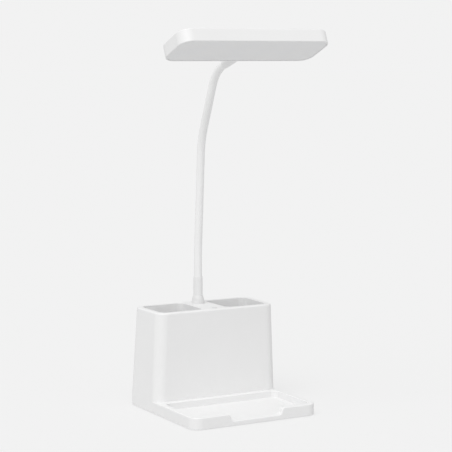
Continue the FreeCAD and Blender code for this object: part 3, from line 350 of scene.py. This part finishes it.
@dataclass(frozen=True)
class SoftRubber(Finish):
    """Matte rubber with a rubbed tread."""

    colour: Colour
    rub_size: float = 0.0015
    rub_share: float = 1.12
    gloss_size: float = 0.001
    roughness: tuple[float, float] = (0.7, 0.85)
    grain_size: float = 0.0003

    def make(self) -> bpy.types.Material:
        """Build the material.

        Returns:
            The material.
        """
        tree = Tree(self.name)
        rubbed = scaled(self.colour, self.rub_share)
        tree.paint(tree.noise(self.rub_size, detail=4.0), self.colour, rubbed)
        tree.roughen(tree.noise(self.gloss_size), *self.roughness)
        tree.bump(tree.noise(self.grain_size), Grain.ERODED.value)
        return tree.material


@dataclass(frozen=True)
class PlatedMetal(Finish):
    """Plated metal with fine draw lines along one axis."""

    metal: Metal
    line: tuple[float, float, float] = (1.0, 1.0, 0.05)
    line_width: float = 0.0002
    line_depth: float = 0.000004
    roughness: tuple[float, float] = (0.26, 0.4)
    stain_size: float = 0.004
    stain_share: float = 0.9

    def make(self) -> bpy.types.Material:
        """Build the material.

        Returns:
            The material.
        """
        tree = Tree(self.name)
        lines = tree.noise(self.line_width, vector=tree.stretched(self.line))
        colour = self.metal.value
        stained = scaled(colour, self.stain_share)
        tree.paint(tree.noise(self.stain_size, detail=3.0), colour, stained)
        tree.roughen(lines, *self.roughness)
        tree.socket("Metallic", 1.0)
        tree.bump(lines, self.line_depth)
        return tree.material


@dataclass(frozen=True)
class ContactTongue(Finish):
    """The socket's dark tongue with a row of gilt contacts side by side along X."""

    plastic: Colour
    gilt: Colour
    pitch: float = 0.0005
    contact_share: float = 0.55
    contact_height: float = 0.00002
    gloss_size: float = 0.0003
    roughness: tuple[float, float] = (0.3, 0.42)

    def make(self) -> bpy.types.Material:
        """Build the material.

        Returns:
            The material.
        """
        tree = Tree(self.name)
        contact = tree.bands(self.pitch, self.contact_share)
        tree.link(tree.tint(contact, self.plastic, self.gilt), tree.shader.inputs["Base Color"])
        tree.link(contact, tree.shader.inputs["Metallic"])
        tree.roughen(tree.noise(self.gloss_size), *self.roughness)
        tree.bump(contact, self.contact_height)
        return tree.material


@dataclass(frozen=True)
class CircuitBoard(Finish):
    """Lacquered board with copper tracks under its lacquer."""

    lacquer: Colour
    track: Colour
    field_length: float = 0.006
    field_width: float = 0.0015
    track_width: float = 0.0002
    track_height: float = 0.00003
    field_share: float = 0.92
    gloss_size: float = 0.001
    roughness: tuple[float, float] = (0.25, 0.35)

    def make(self) -> bpy.types.Material:
        """Build the material.

        Returns:
            The material.
        """
        tree = Tree(self.name)
        tracks = tree.nodes.new("ShaderNodeTexBrick")
        tracks.inputs["Scale"].default_value = 1.0
        tracks.inputs["Brick Width"].default_value = self.field_length
        tracks.inputs["Row Height"].default_value = self.field_width
        tracks.inputs["Mortar Size"].default_value = self.track_width
        tracks.inputs["Color1"].default_value = (*self.lacquer, 1.0)
        tracks.inputs["Color2"].default_value = (*scaled(self.lacquer, self.field_share), 1.0)
        tracks.inputs["Mortar"].default_value = (*self.track, 1.0)
        tree.link(tree.coordinates, tracks.inputs["Vector"])
        tree.link(tracks.outputs["Color"], tree.shader.inputs["Base Color"])
        tree.roughen(tree.noise(self.gloss_size), *self.roughness)
        tree.bump(tracks.outputs["Fac"], self.track_height)
        return tree.material


WHITE = (0.86, 0.86, 0.86)
SHELL = MouldedPlastic("white shell", WHITE)
COVER = MouldedPlastic("white cover", (0.82, 0.82, 0.82), 0.5, Grain.ERODED, 0.0006)
# The bell is the shell's white plastic made darker: painted shade, standing in for the shade at the neck's
# foot.
SHADED_BELL_WHITE = MouldedPlastic("bell white with painted shade", (0.77, 0.77, 0.77))
BUTTON = MouldedPlastic("button grey", (0.74, 0.74, 0.74), 0.38, Grain.SATIN)
SLEEVE = SoftSleeve("neck sleeve", (0.91, 0.91, 0.91))
PANEL = MilkyPanel("milky panel", (0.84, 0.84, 0.84), (0.828, 0.832, 0.84))
RUBBER = SoftRubber("foot rubber", (0.36, 0.36, 0.36))
INNER = MouldedPlastic("inner plastic", (0.05, 0.05, 0.052), 0.5, Grain.ERODED)
ZINC = PlatedMetal("zinc plate", Metal.ZINC)
NICKEL = PlatedMetal("nickel plate", Metal.NICKEL, (0.05, 1.0, 1.0))
WRAP = MouldedPlastic("cell wrap", (0.03, 0.12, 0.36), 0.25, Grain.POLISHED, 0.002, 0.1)
GREEN = CircuitBoard("green board", (0.012, 0.09, 0.035), (0.05, 0.17, 0.06))
PALE = CircuitBoard("pale board", (0.72, 0.72, 0.72), (0.62, 0.62, 0.6))
CHIP = MouldedPlastic("light chip", (0.78, 0.62, 0.16), 0.3, Grain.POLISHED)
WIRE = SoftRubber("wire insulation", (0.02, 0.02, 0.02))
TONGUE = ContactTongue("contact tongue", (0.03, 0.03, 0.032), (0.86, 0.62, 0.26))


class Finishes:
    """Makes each finish once and hands it out again."""

    def __init__(self) -> None:
        """Start with no material made."""
        self.made: dict[str, bpy.types.Material] = {}

    def of(self, finish: Finish) -> bpy.types.Material:
        """Return the material of a finish, made at its first use.

        Args:
            finish: the finish.

        Returns:
            Its material.
        """
        if finish.name not in self.made:
            self.made[finish.name] = finish.make()
        return self.made[finish.name]

    def dress(self, names: tuple[str, ...], finish: Finish) -> None:
        """Give CAD nodes a finish.

        Args:
            names: the nodes.
            finish: what they are made of.
        """
        for name in names:
            slots = NODES[name].data.materials
            slots.clear()
            slots.append(self.of(finish))
            log.info("%s: %s", name, finish.name)


FINISHES = Finishes()


# Shapes
SHARP = math.radians(32.0)
FLAT = math.radians(0.5)
SAME_PLACE = 0.000002


def corners(points: list[Vector]) -> tuple[Vector, Vector]:
    """Return the lowest and the highest corner of the box round some points."""
    axes = list(zip(*points))
    return Vector([min(axis) for axis in axes]), Vector([max(axis) for axis in axes])


def node_points(node: str) -> list[Vector]:
    """Return where the corners of a CAD node's faces are."""
    return [vertex.co for vertex in NODES[node].data.vertices]


def turned(outline: list[tuple[float, float]], sides: int, bored: bool) -> bmesh.types.BMesh:
    """Turn an outline about Z into a closed shape.

    Args:
        outline: the radius and the height of each corner, upwards along the outside.
        sides: how many faces go round.
        bored: whether the outline comes back down inside a bore, instead of ending in two flat ends.

    Returns:
        The shape, with its faces outwards.
    """
    shape = bmesh.new()
    angles = [math.tau * index / sides for index in range(sides)]
    rings = [
        [shape.verts.new((radius * math.cos(angle), radius * math.sin(angle), height)) for angle in angles]
        for radius, height in outline
    ]
    following_rings = [*rings[1:], rings[0]] if bored else rings[1:]
    for lower, upper in zip(rings, following_rings):
        for index in range(sides):
            following = (index + 1) % sides
            shape.faces.new((lower[index], lower[following], upper[following], upper[index]))
    if not bored:
        shape.faces.new(reversed(rings[0]))
        shape.faces.new(rings[-1])
    return shape


def seat(
    name: str, shape: bmesh.types.BMesh, node: str, finish: Finish, body: str
) -> bpy.types.Object:
    """Put a shape in the place of a CAD node, shaded smooth but for its sharp edges.

    Args:
        name: the new piece's name.
        shape: its faces, which are used up.
        node: the CAD node that it stands for.
        finish: what it is made of.
        body: the body that it moves with.

    Returns:
        The new piece.
    """
    for face in shape.faces:
        face.smooth = True
    for edge in shape.edges:
        edge.smooth = len(edge.link_faces) == 2 and edge.calc_face_angle(0.0) < SHARP
    mesh = bpy.data.meshes.new(name)
    shape.to_mesh(mesh)
    shape.free()
    mesh.materials.append(FINISHES.of(finish))
    piece = bpy.data.objects.new(name, mesh)
    bpy.context.scene.collection.objects.link(piece)
    weighted = piece.modifiers.new("even shading", "WEIGHTED_NORMAL")
    weighted.keep_sharp = True
    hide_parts(node)
    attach(piece, body)
    log.info("%s: in the place of %s, %s", name, node, finish.name)
    return piece


def smooth_copy(name: str, node: str, finish: Finish, body: str) -> bpy.types.Object:
    """Replace a node by a copy of it whose curved faces are shaded smooth.

    Args:
        name: the new piece's name.
        node: the CAD node that it stands for.
        finish: what it is made of.
        body: the body that it moves with.

    Returns:
        The new piece.
    """
    shape = bmesh.new()
    shape.from_mesh(NODES[node].data)
    bmesh.ops.remove_doubles(shape, verts=shape.verts, dist=SAME_PLACE)
    bmesh.ops.dissolve_limit(shape, angle_limit=FLAT, verts=shape.verts, edges=shape.edges)
    return seat(name, shape, node, finish, body)


def open_tree(name: str, inputs: dict[str, str]) -> tuple[bpy.types.GeometryNodeTree, bpy.types.Node]:
    """Start a node tree for shapes, with named inputs and one output.

    Args:
        name: the tree's name.
        inputs: the kind of each input, by the input's name.

    Returns:
        The tree and the node that its inputs come from.
    """
    tree = bpy.data.node_groups.new(name, "GeometryNodeTree")
    for label, kind in inputs.items():
        tree.interface.new_socket(label, in_out="INPUT", socket_type=f"NodeSocket{kind}")
    tree.interface.new_socket("Piece", in_out="OUTPUT", socket_type="NodeSocketGeometry")
    return tree, tree.nodes.new("NodeGroupInput")


def close_tree(
    tree: bpy.types.GeometryNodeTree, given: bpy.types.Node, shape: bpy.types.NodeSocket
) -> bpy.types.GeometryNodeTree:
    """End a node tree: what it made becomes plain mesh and gets the finish.

    Args:
        tree: the tree.
        given: the node that its inputs come from.
        shape: the socket of what it made.

    Returns:
        The same tree.
    """
    realize = tree.nodes.new("GeometryNodeRealizeInstances")
    dress = tree.nodes.new("GeometryNodeSetMaterial")
    end = tree.nodes.new("NodeGroupOutput")
    tree.links.new(shape, realize.inputs["Geometry"])
    tree.links.new(realize.outputs["Geometry"], dress.inputs["Geometry"])
    tree.links.new(given.outputs["Finish"], dress.inputs["Material"])
    tree.links.new(dress.outputs["Geometry"], end.inputs["Piece"])
    return tree


def grow(
    name: str, start: bpy.types.ID, tree: bpy.types.GeometryNodeTree, values: dict[str, object]
) -> bpy.types.Object:
    """Run a node tree on some start data and keep what comes out as a plain mesh.

    Args:
        name: the new piece's name.
        start: the curve or mesh that goes into the tree.
        tree: the node tree.
        values: the tree's other inputs, by their names.

    Returns:
        The new piece, with no modifier left.
    """
    seed = bpy.data.objects.new(f"{name}_start", start)
    bpy.context.scene.collection.objects.link(seed)
    modifier = seed.modifiers.new("grow", "NODES")
    modifier.node_group = tree
    for socket in tree.interface.items_tree:
        if socket.in_out == "INPUT" and socket.name in values:
            modifier[socket.identifier] = values[socket.name]
    found = seed.evaluated_get(bpy.context.evaluated_depsgraph_get())
    mesh = bpy.data.meshes.new_from_object(found)
    mesh.name = name
    bpy.data.objects.remove(seed)
    piece = bpy.data.objects.new(name, mesh)
    bpy.context.scene.collection.objects.link(piece)
    return piece


# Neck
class Joint(Enum):
    """The neck's joints from the foot up, by the names that the record gives them."""

    SWAY = "neck_sway"
    LOWER = "neck_lower_bend"
    MIDDLE = "neck_middle_bend"
    UPPER = "neck_upper_bend"
    HEAD = "head_turn"


def joint_place(joint: Joint) -> Vector:
    """Return where a joint is at rest, in metres."""
    return Vector(next(each for each in frame["joints"] if each["name"] == joint.value)["pos_m"])


@dataclass
class Course:
    """The neck's centre line in its own plane: runs and bends towards the front.

    Each step is a length and the angle in degrees that it turns forward.
    """

    foot: Vector
    steps: list[tuple[float, float]] = field(default_factory=list)

    def points(self, spacing: float) -> list[Vector]:
        """Follow the course.

        Args:
            spacing: the longest distance between two points.

        Returns:
            Points along the centre line, the last one at its end.
        """
        place = self.foot.copy()
        lean = 0.0
        found = [place.copy()]
        for length, turn in self.steps:
            pieces = max(1, math.ceil(length / spacing))
            for _ in range(pieces):
                middle = lean + math.radians(turn) / pieces / 2
                place += Vector((0, -math.sin(middle), math.cos(middle))) * (length / pieces)
                lean += math.radians(turn) / pieces
                found.append(place.copy())
        return found


@dataclass
class Neck:
    """The bendable neck: a smooth sleeve in lengths that each bend across one joint."""

    radius: float = 0.0040
    sides: int = 48
    spacing: float = 0.0012
    sway_reach: float = 0.007
    bend_reach: float = 0.014
    foot: float = 0.1029
    first_rise: float = 0.006
    first_bend: tuple[float, float] = (0.330, 3.7)
    middle_bend: tuple[float, float] = (0.082, 19.5)
    upper_bend: tuple[float, float] = (0.036, 43.8)
    long_rise: float = 0.092
    upper_rise: float = 0.0465
    end_rise: float = 0.0045
    dome_step: int = 9
    aim_points: int = 4
    bodies: tuple[str, ...] = ("base", "neck_1", "neck_2", "neck_3", "neck_4")

    def tree(self) -> bpy.types.GeometryNodeTree:
        """Build the node tree that turns a centre line into a closed sleeve.

        Returns:
            The tree, whose rings follow the radius of the line's own points.
        """
        kinds = {"Line": "Geometry", "Radius": "Float", "Sides": "Int", "Finish": "Material"}
        tree, given = open_tree("sleeve along a line", kinds)
        ring = tree.nodes.new("GeometryNodeCurvePrimitiveCircle")
        share = tree.nodes.new("GeometryNodeInputRadius")
        skin = tree.nodes.new("GeometryNodeCurveToMesh")
        skin.inputs["Fill Caps"].default_value = True
        tree.links.new(given.outputs["Radius"], ring.inputs["Radius"])
        tree.links.new(given.outputs["Sides"], ring.inputs["Resolution"])
        tree.links.new(given.outputs["Line"], skin.inputs["Curve"])
        tree.links.new(ring.outputs["Curve"], skin.inputs["Profile Curve"])
        tree.links.new(share.outputs["Radius"], skin.inputs["Scale"])
        return close_tree(tree, given, skin.outputs["Mesh"])

    def course(self) -> Course:
        """Lay out the whole centre line.

        Returns:
            The line, from the foot's flange to the last ball.
        """
        place = joint_place(Joint.SWAY)
        foot = Vector((place.x, place.y, self.foot))
        first_radius, first_turn = self.first_bend
        middle_radius, middle_turn = self.middle_bend
        upper_radius, upper_turn = self.upper_bend
        return Course(foot, [
            (place.z - self.foot + self.first_rise, 0.0),
            (first_radius * math.radians(first_turn), first_turn),
            (self.long_rise, 0.0),
            (middle_radius * math.radians(middle_turn), middle_turn),
            (self.upper_rise, 0.0),
            (upper_radius * math.radians(upper_turn), upper_turn),
            (self.end_rise, 0.0),
        ])

    def length_of(
        self, name: str, points: list[Vector], shares: list[float], tree: bpy.types.GeometryNodeTree
    ) -> bpy.types.Object:
        """Make one length of sleeve along some points.

        Args:
            name: the piece's name.
            points: its centre line.
            shares: the share of the full radius at each point.
            tree: the node tree of the sleeve.

        Returns:
            The length as a plain mesh object.
        """
        curve = bpy.data.curves.new(f"{name}_line", "CURVE")
        curve.dimensions = "3D"
        spline = curve.splines.new("POLY")
        spline.points.add(len(points) - 1)
        for point, place, share in zip(spline.points, points, shares):
            point.co = (*place, 1.0)
            point.radius = share
        values = {"Radius": self.radius, "Sides": self.sides, "Finish": FINISHES.of(SLEEVE)}
        piece = grow(name, curve, tree, values)
        for face in piece.data.polygons:
            face.use_smooth = len(face.vertices) == 4
        return piece

    def build(self) -> None:
        """Build the sleeve's lengths, one across each joint."""
        points = self.course().points(self.spacing)
        joints = [joint_place(each) for each in (Joint.SWAY, Joint.LOWER, Joint.MIDDLE, Joint.UPPER)]
        marks = []
        for place in joints:
            marks.append(min(range(len(points)), key=lambda index: (points[index] - place).length))
        last = joint_place(Joint.HEAD)
        ahead = (points[-1] - points[-2]).normalized()
        dome = [math.radians(angle) for angle in range(self.dome_step, 90, self.dome_step)]
        points += [last + ahead * self.radius * math.sin(angle) for angle in dome]
        shares = [1.0] * (len(points) - len(dome)) + [math.cos(angle) for angle in dome]
        cuts = [0, *((low + high) // 2 for low, high in zip(marks, marks[1:])), len(points) - 1]
        tree = self.tree()
        for index, mark in enumerate(marks):
            stretch = slice(cuts[index], cuts[index + 1] + 1)
            piece = self.length_of(f"neck_sleeve_{index + 1}", points[stretch], shares[stretch], tree)
            beyond = points[min(mark + self.aim_points, len(points) - 1)]
            ahead = (beyond - points[mark - self.aim_points]).normalized()
            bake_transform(piece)
            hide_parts("neck_root" if index == 0 else f"neck_section_{index}")
            if index == len(marks) - 1:
                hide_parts("neck_section_4")
            log.info("%s: across %s", piece.name, list(Joint)[index].value)
        cores = tuple(f"neck_section_{number}_core" for number in range(1, 5))
        FINISHES.dress(("neck_root_core", *cores), ZINC)


# Cover screws
@dataclass
class CoverScrews:
    """The four screws under the base: pan heads with a cross recess, each turned its own way."""

    node: str = "cover_screws"
    head_radius: float = 0.0023
    head_height: float = 0.00125
    head_edge: float = 0.00035
    edge_share: float = 0.3
    shank_radius: float = 0.0013
    shank_length: float = 0.0077
    arm_reach: float = 0.00125
    arm_half_width: float = 0.00026
    arm_depth: float = 0.0007
    floor_share: float = 0.7
    sides: int = 48
    seed: int = 4

    def places(self) -> list[Vector]:
        """Find where the screws of the CAD node are.

        Returns:
            The middle of each head's outer face.
        """
        points = node_points(self.node)
        middle_y = sum(point.y for point in points) / len(points)
        found = []
        for side in (False, True):
            for back in (False, True):
                own = [each for each in points if (each.x > 0, each.y > middle_y) == (side, back)]
                low, high = corners(own)
                found.append(Vector(((low.x + high.x) / 2, (low.y + high.y) / 2, low.z)))
        return found

    def plain(self) -> bmesh.types.BMesh:
        """Turn the screw's outline about Z.

        Returns:
            The screw before its recess is cut, head down.
        """
        top = self.head_height + self.shank_length
        outline = [
            (self.head_radius - self.head_edge, 0.0),
            (self.head_radius - self.head_edge * self.edge_share, self.head_edge * self.edge_share),
            (self.head_radius, self.head_edge),
            (self.head_radius, self.head_height),
            (self.shank_radius, self.head_height),
            (self.shank_radius, top),
        ]
        return turned(outline, self.sides, False)

    def cross(self) -> bmesh.types.BMesh:
        """Make the cross that is cut into the head.

        Returns:
            The cross, narrower at its floor.
        """
        reach = self.arm_reach
        half = self.arm_half_width
        quarter = [(reach, -half), (reach, half), (half, half)]
        shape = bmesh.new()
        levels = []
        for share, height in ((1.0, -self.head_edge), (self.floor_share, self.arm_depth)):
            points = []
            for turn in range(4):
                angle = turn * math.pi / 2
                for x, y in quarter:
                    points.append((
                        (x * math.cos(angle) - y * math.sin(angle)) * share,
                        (x * math.sin(angle) + y * math.cos(angle)) * share,
                        height,
                    ))
            levels.append([shape.verts.new(point) for point in points])
        lower, upper = levels
        count = len(lower)
        for index in range(count):
            following = (index + 1) % count
            shape.faces.new((lower[index], lower[following], upper[following], upper[index]))
        shape.faces.new(reversed(lower))
        shape.faces.new(upper)
        return shape

    def one(self) -> bpy.types.Object:
        """Make one screw.

        Returns:
            The screw with its recess cut.
        """
        found = []
        for name, shape in (("screw", self.plain()), ("cross", self.cross())):
            mesh = bpy.data.meshes.new(name)
            shape.to_mesh(mesh)
            shape.free()
            found.append(bpy.data.objects.new(name, mesh))
            bpy.context.scene.collection.objects.link(found[-1])
        screw, cutter = found
        recess = screw.modifiers.new("recess", "BOOLEAN")
        recess.operation = "DIFFERENCE"
        recess.solver = "EXACT"
        recess.object = cutter
        cut = bpy.data.meshes.new_from_object(screw.evaluated_get(bpy.context.evaluated_depsgraph_get()))
        screw.modifiers.remove(recess)
        screw.data = cut
        bpy.data.objects.remove(cutter)
        return screw

    def tree(self) -> bpy.types.GeometryNodeTree:
        """Build the node tree that sets a screw at each place.

        Returns:
            The tree, which turns each screw about Z by chance.
        """
        kinds = {"Places": "Geometry", "Screw": "Object", "Seed": "Int", "Finish": "Material"}
        tree, given = open_tree("screws at places", kinds)
        screw = tree.nodes.new("GeometryNodeObjectInfo")
        turn = tree.nodes.new("FunctionNodeRandomValue")
        turn.data_type = "FLOAT_VECTOR"
        turn.inputs["Min"].default_value = (0.0, 0.0, 0.0)
        turn.inputs["Max"].default_value = (0.0, 0.0, math.tau)
        spread = tree.nodes.new("GeometryNodeInstanceOnPoints")
        tree.links.new(given.outputs["Screw"], screw.inputs["Object"])
        tree.links.new(given.outputs["Seed"], turn.inputs["Seed"])
        tree.links.new(given.outputs["Places"], spread.inputs["Points"])
        tree.links.new(screw.outputs["Geometry"], spread.inputs["Instance"])
        tree.links.new(turn.outputs["Value"], spread.inputs["Rotation"])
        return close_tree(tree, given, spread.outputs["Instances"])

    def build(self) -> None:
        """Set the four screws in the place of the CAD node."""
        screw = self.one()
        places = bpy.data.meshes.new("screw_places")
        places.from_pydata([tuple(place) for place in self.places()], [], [])
        values = {"Screw": screw, "Seed": self.seed, "Finish": FINISHES.of(ZINC)}
        piece = grow("cross_head_screws", places, self.tree(), values)
        bpy.data.objects.remove(screw)
        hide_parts(self.node)
        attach(piece, "base")
        log.info("%s: four screws with cross recesses", piece.name)


# Bell at the neck's foot
@dataclass
class Bell:
    """The bell round the cuff: upright at its foot, then more and more inwards up to the cuff."""

    node: str = "bell_collar"
    top_step: float = 0.0003
    top_round: float = 0.0003
    fullness: float = 2.4
    steps: int = 16
    sides: int = 96

    def build(self) -> None:
        """Turn the bell in the place of the CAD node."""
        points = node_points(self.node)
        low, high = corners(points)
        middle = (low + high) / 2
        bore = min((point.xy - middle.xy).length for point in points)
        _, cuff = corners(node_points("neck_cuff"))
        top = cuff.x - middle.x + self.top_step
        spare = high.x - middle.x - top
        outline = []
        for step in range(self.steps + 1):
            rise = step / self.steps
            height = low.z + (high.z - low.z - self.top_round) * rise
            outline.append((top + spare * (1.0 - rise ** self.fullness), height))
        outline += [(top - self.top_round, high.z), (bore, high.z), (bore, low.z)]
        shape = turned(outline, self.sides, True)
        bmesh.ops.translate(shape, verts=shape.verts, vec=(middle.x, middle.y, 0.0))
        # The bell's finish is the shell's white made darker: painted shade.
        seat("collar_bell", shape, self.node, SHADED_BELL_WHITE, "base")


# Base
@dataclass
class Base:
    """The housing with its cups and tray, what closes it below, and what is inside."""

    feet: tuple[str, ...] = ("foot_front_left", "foot_front_right", "foot_back_left", "foot_back_right")
    tongue_reach: float = 0.0034
    tongue_half_height: float = 0.0004

    def build(self) -> None:
        """Dress the base's pieces."""
        smooth_copy("housing_shell", "housing", SHELL, "base")
        smooth_copy("bottom_plate", "bottom_cover", COVER, "base")
        Bell().build()
        smooth_copy("neck_cuff_ring", "neck_cuff", SHELL, "base")
        smooth_copy("power_cap", "power_button", BUTTON, "button")
        for foot in self.feet:
            smooth_copy(f"{foot}_pad", foot, RUBBER, "base")
        CoverScrews().build()
        self.build_socket()
        FINISHES.dress(("ballast_plate", "neck_ferrule", "neck_washer", "neck_nut"), ZINC)
        FINISHES.dress(("control_board_screws", "button_board_screws"), ZINC)
        FINISHES.dress(("inner_frame", "lead_connector", "button_switch"), INNER)
        FINISHES.dress(("control_board", "button_board"), GREEN)
        FINISHES.dress(("battery_cell",), WRAP)
        FINISHES.dress(("lamp_lead",), WIRE)

    def build_socket(self) -> None:
        """Copy the charging socket, with its own finish on the tongue inside it."""
        piece = smooth_copy("socket_shell", "charging_socket", NICKEL, "base")
        piece.data.materials.append(FINISHES.of(TONGUE))
        points = [vertex.co for vertex in piece.data.vertices]
        low, high = corners(points)
        middle = (low + high) / 2
        for face in piece.data.polygons:
            offsets = [points[index] - middle for index in face.vertices]
            reach_x = max(abs(offset.x) for offset in offsets)
            reach_z = max(abs(offset.z) for offset in offsets)
            face.material_index = int(reach_x < self.tongue_reach and reach_z < self.tongue_half_height)


# Head
@dataclass
class Head:
    """The head: its shell, its milky panel and what is inside."""

    def build(self) -> None:
        """Dress the head's pieces."""
        smooth_copy("head_cover", "head_shell", SHELL, "head")
        smooth_copy("light_panel", "diffuser", PANEL, "head")
        smooth_copy("head_collar_cone", "head_collar", SHELL, "head")
        FINISHES.dress(("head_stem", "light_board_screws", "clamp_screws"), ZINC)
        FINISHES.dress(("light_board",), PALE)
        FINISHES.dress(("light_chips",), CHIP)
        FINISHES.dress(("stem_clamp",), INNER)


# Studio
def grey(value: float) -> tuple[float, float, float, float]:
    """Return an opaque grey."""
    return (value, value, value, 1.0)


@dataclass
class Studio:
    """The camera at the photograph's angle, the lamps, the floor and the background."""

    eye: tuple[float, float, float] = (-0.7551, -1.3426, 0.35353)
    azimuth: float = 29.47
    pitch: float = 6.21
    focal_pixels: float = 1559.04
    image_pixels: float = 452.0
    sensor: float = 36.0
    nearest: float = 0.05
    farthest: float = 200.0
    background: float = 0.887
    sky: float = 0.66
    key: float = 1.49
    key_from: tuple[float, float, float] = (-0.2155, -0.187, 0.38)
    key_softness: float = 50.0
    floor_shown: float = 0.853
    floor_bounce: float = 0.707
    shadow_share: float = 0.24
    floor_reach: float = 30.0

    def build(self) -> None:
        """Set up everything round the object."""
        self.aim_camera()
        self.light()
        self.lay_floor()
        bpy.context.scene.view_settings.view_transform = "Standard"

    def aim_camera(self) -> None:
        """Put the camera where the photograph was taken from."""
        data = bpy.data.cameras.new("camera")
        data.sensor_width = self.sensor
        data.lens = self.focal_pixels / self.image_pixels * self.sensor
        data.clip_start = self.nearest
        data.clip_end = self.farthest
        camera = bpy.data.objects.new("camera", data)
        turn = math.radians(self.azimuth)
        dip = math.radians(self.pitch)
        ahead = Vector((
            math.sin(turn) * math.cos(dip), math.cos(turn) * math.cos(dip), -math.sin(dip)
        ))
        camera.rotation_mode = "QUATERNION"
        camera.location = self.eye
        camera.rotation_quaternion = ahead.to_track_quat("-Z", "Y")
        bpy.context.scene.collection.objects.link(camera)
        bpy.context.scene.camera = camera

    def light(self) -> None:
        """Add the soft key lamp and the even sky, which the camera sees as the background."""
        lamp = bpy.data.lights.new("key", "SUN")
        lamp.energy = self.key
        lamp.angle = math.radians(self.key_softness)
        key = bpy.data.objects.new("key", lamp)
        key.rotation_mode = "QUATERNION"
        key.rotation_quaternion = (-Vector(self.key_from)).to_track_quat("-Z", "Y")
        bpy.context.scene.collection.objects.link(key)

        world = bpy.data.worlds.new("sky")
        world.use_nodes = True
        bpy.context.scene.world = world
        nodes = world.node_tree.nodes
        links = world.node_tree.links
        path = nodes.new("ShaderNodeLightPath")
        shown = nodes.new("ShaderNodeBackground")
        shown.inputs["Color"].default_value = grey(self.background)
        lit = nodes["Background"]
        lit.inputs["Color"].default_value = grey(self.sky)
        mix = nodes.new("ShaderNodeMixShader")
        links.new(path.outputs["Is Camera Ray"], mix.inputs["Fac"])
        links.new(lit.outputs["Background"], mix.inputs[1])
        links.new(shown.outputs["Background"], mix.inputs[2])
        links.new(mix.outputs["Shader"], nodes["World Output"].inputs["Surface"])

    def lay_floor(self) -> None:
        """Lay the pale floor, which keeps a faint shadow."""
        reach = self.floor_reach
        mesh = bpy.data.meshes.new("floor")
        edge = [(-reach, -reach, 0), (reach, -reach, 0), (reach, reach, 0), (-reach, reach, 0)]
        mesh.from_pydata(edge, [], [(0, 1, 2, 3)])
        floor = bpy.data.objects.new("floor", mesh)
        bpy.context.scene.collection.objects.link(floor)
        material = bpy.data.materials.new("floor")
        material.use_nodes = True
        nodes = material.node_tree.nodes
        links = material.node_tree.links
        nodes.remove(nodes["Principled BSDF"])
        path = nodes.new("ShaderNodeLightPath")
        bounce = nodes.new("ShaderNodeBsdfDiffuse")
        bounce.inputs["Color"].default_value = grey(self.floor_bounce)
        shaded = nodes.new("ShaderNodeBsdfDiffuse")
        shaded.inputs["Color"].default_value = grey(self.floor_shown)
        even = nodes.new("ShaderNodeEmission")
        even.inputs["Color"].default_value = grey(self.background)
        seen = nodes.new("ShaderNodeMixShader")
        seen.inputs["Fac"].default_value = self.shadow_share
        links.new(even.outputs["Emission"], seen.inputs[1])
        links.new(shaded.outputs["BSDF"], seen.inputs[2])
        mix = nodes.new("ShaderNodeMixShader")
        links.new(path.outputs["Is Camera Ray"], mix.inputs["Fac"])
        links.new(bounce.outputs["BSDF"], mix.inputs[1])
        links.new(seen.outputs["Shader"], mix.inputs[2])
        links.new(mix.outputs["Shader"], nodes["Material Output"].inputs["Surface"])
        mesh.materials.append(material)


def main() -> None:
    """Build the lamp from the base up, then the studio."""
    for part in (Studio(), Base(), Neck(), Head()):
        part.build()


if __name__ == "__main__":
    main()
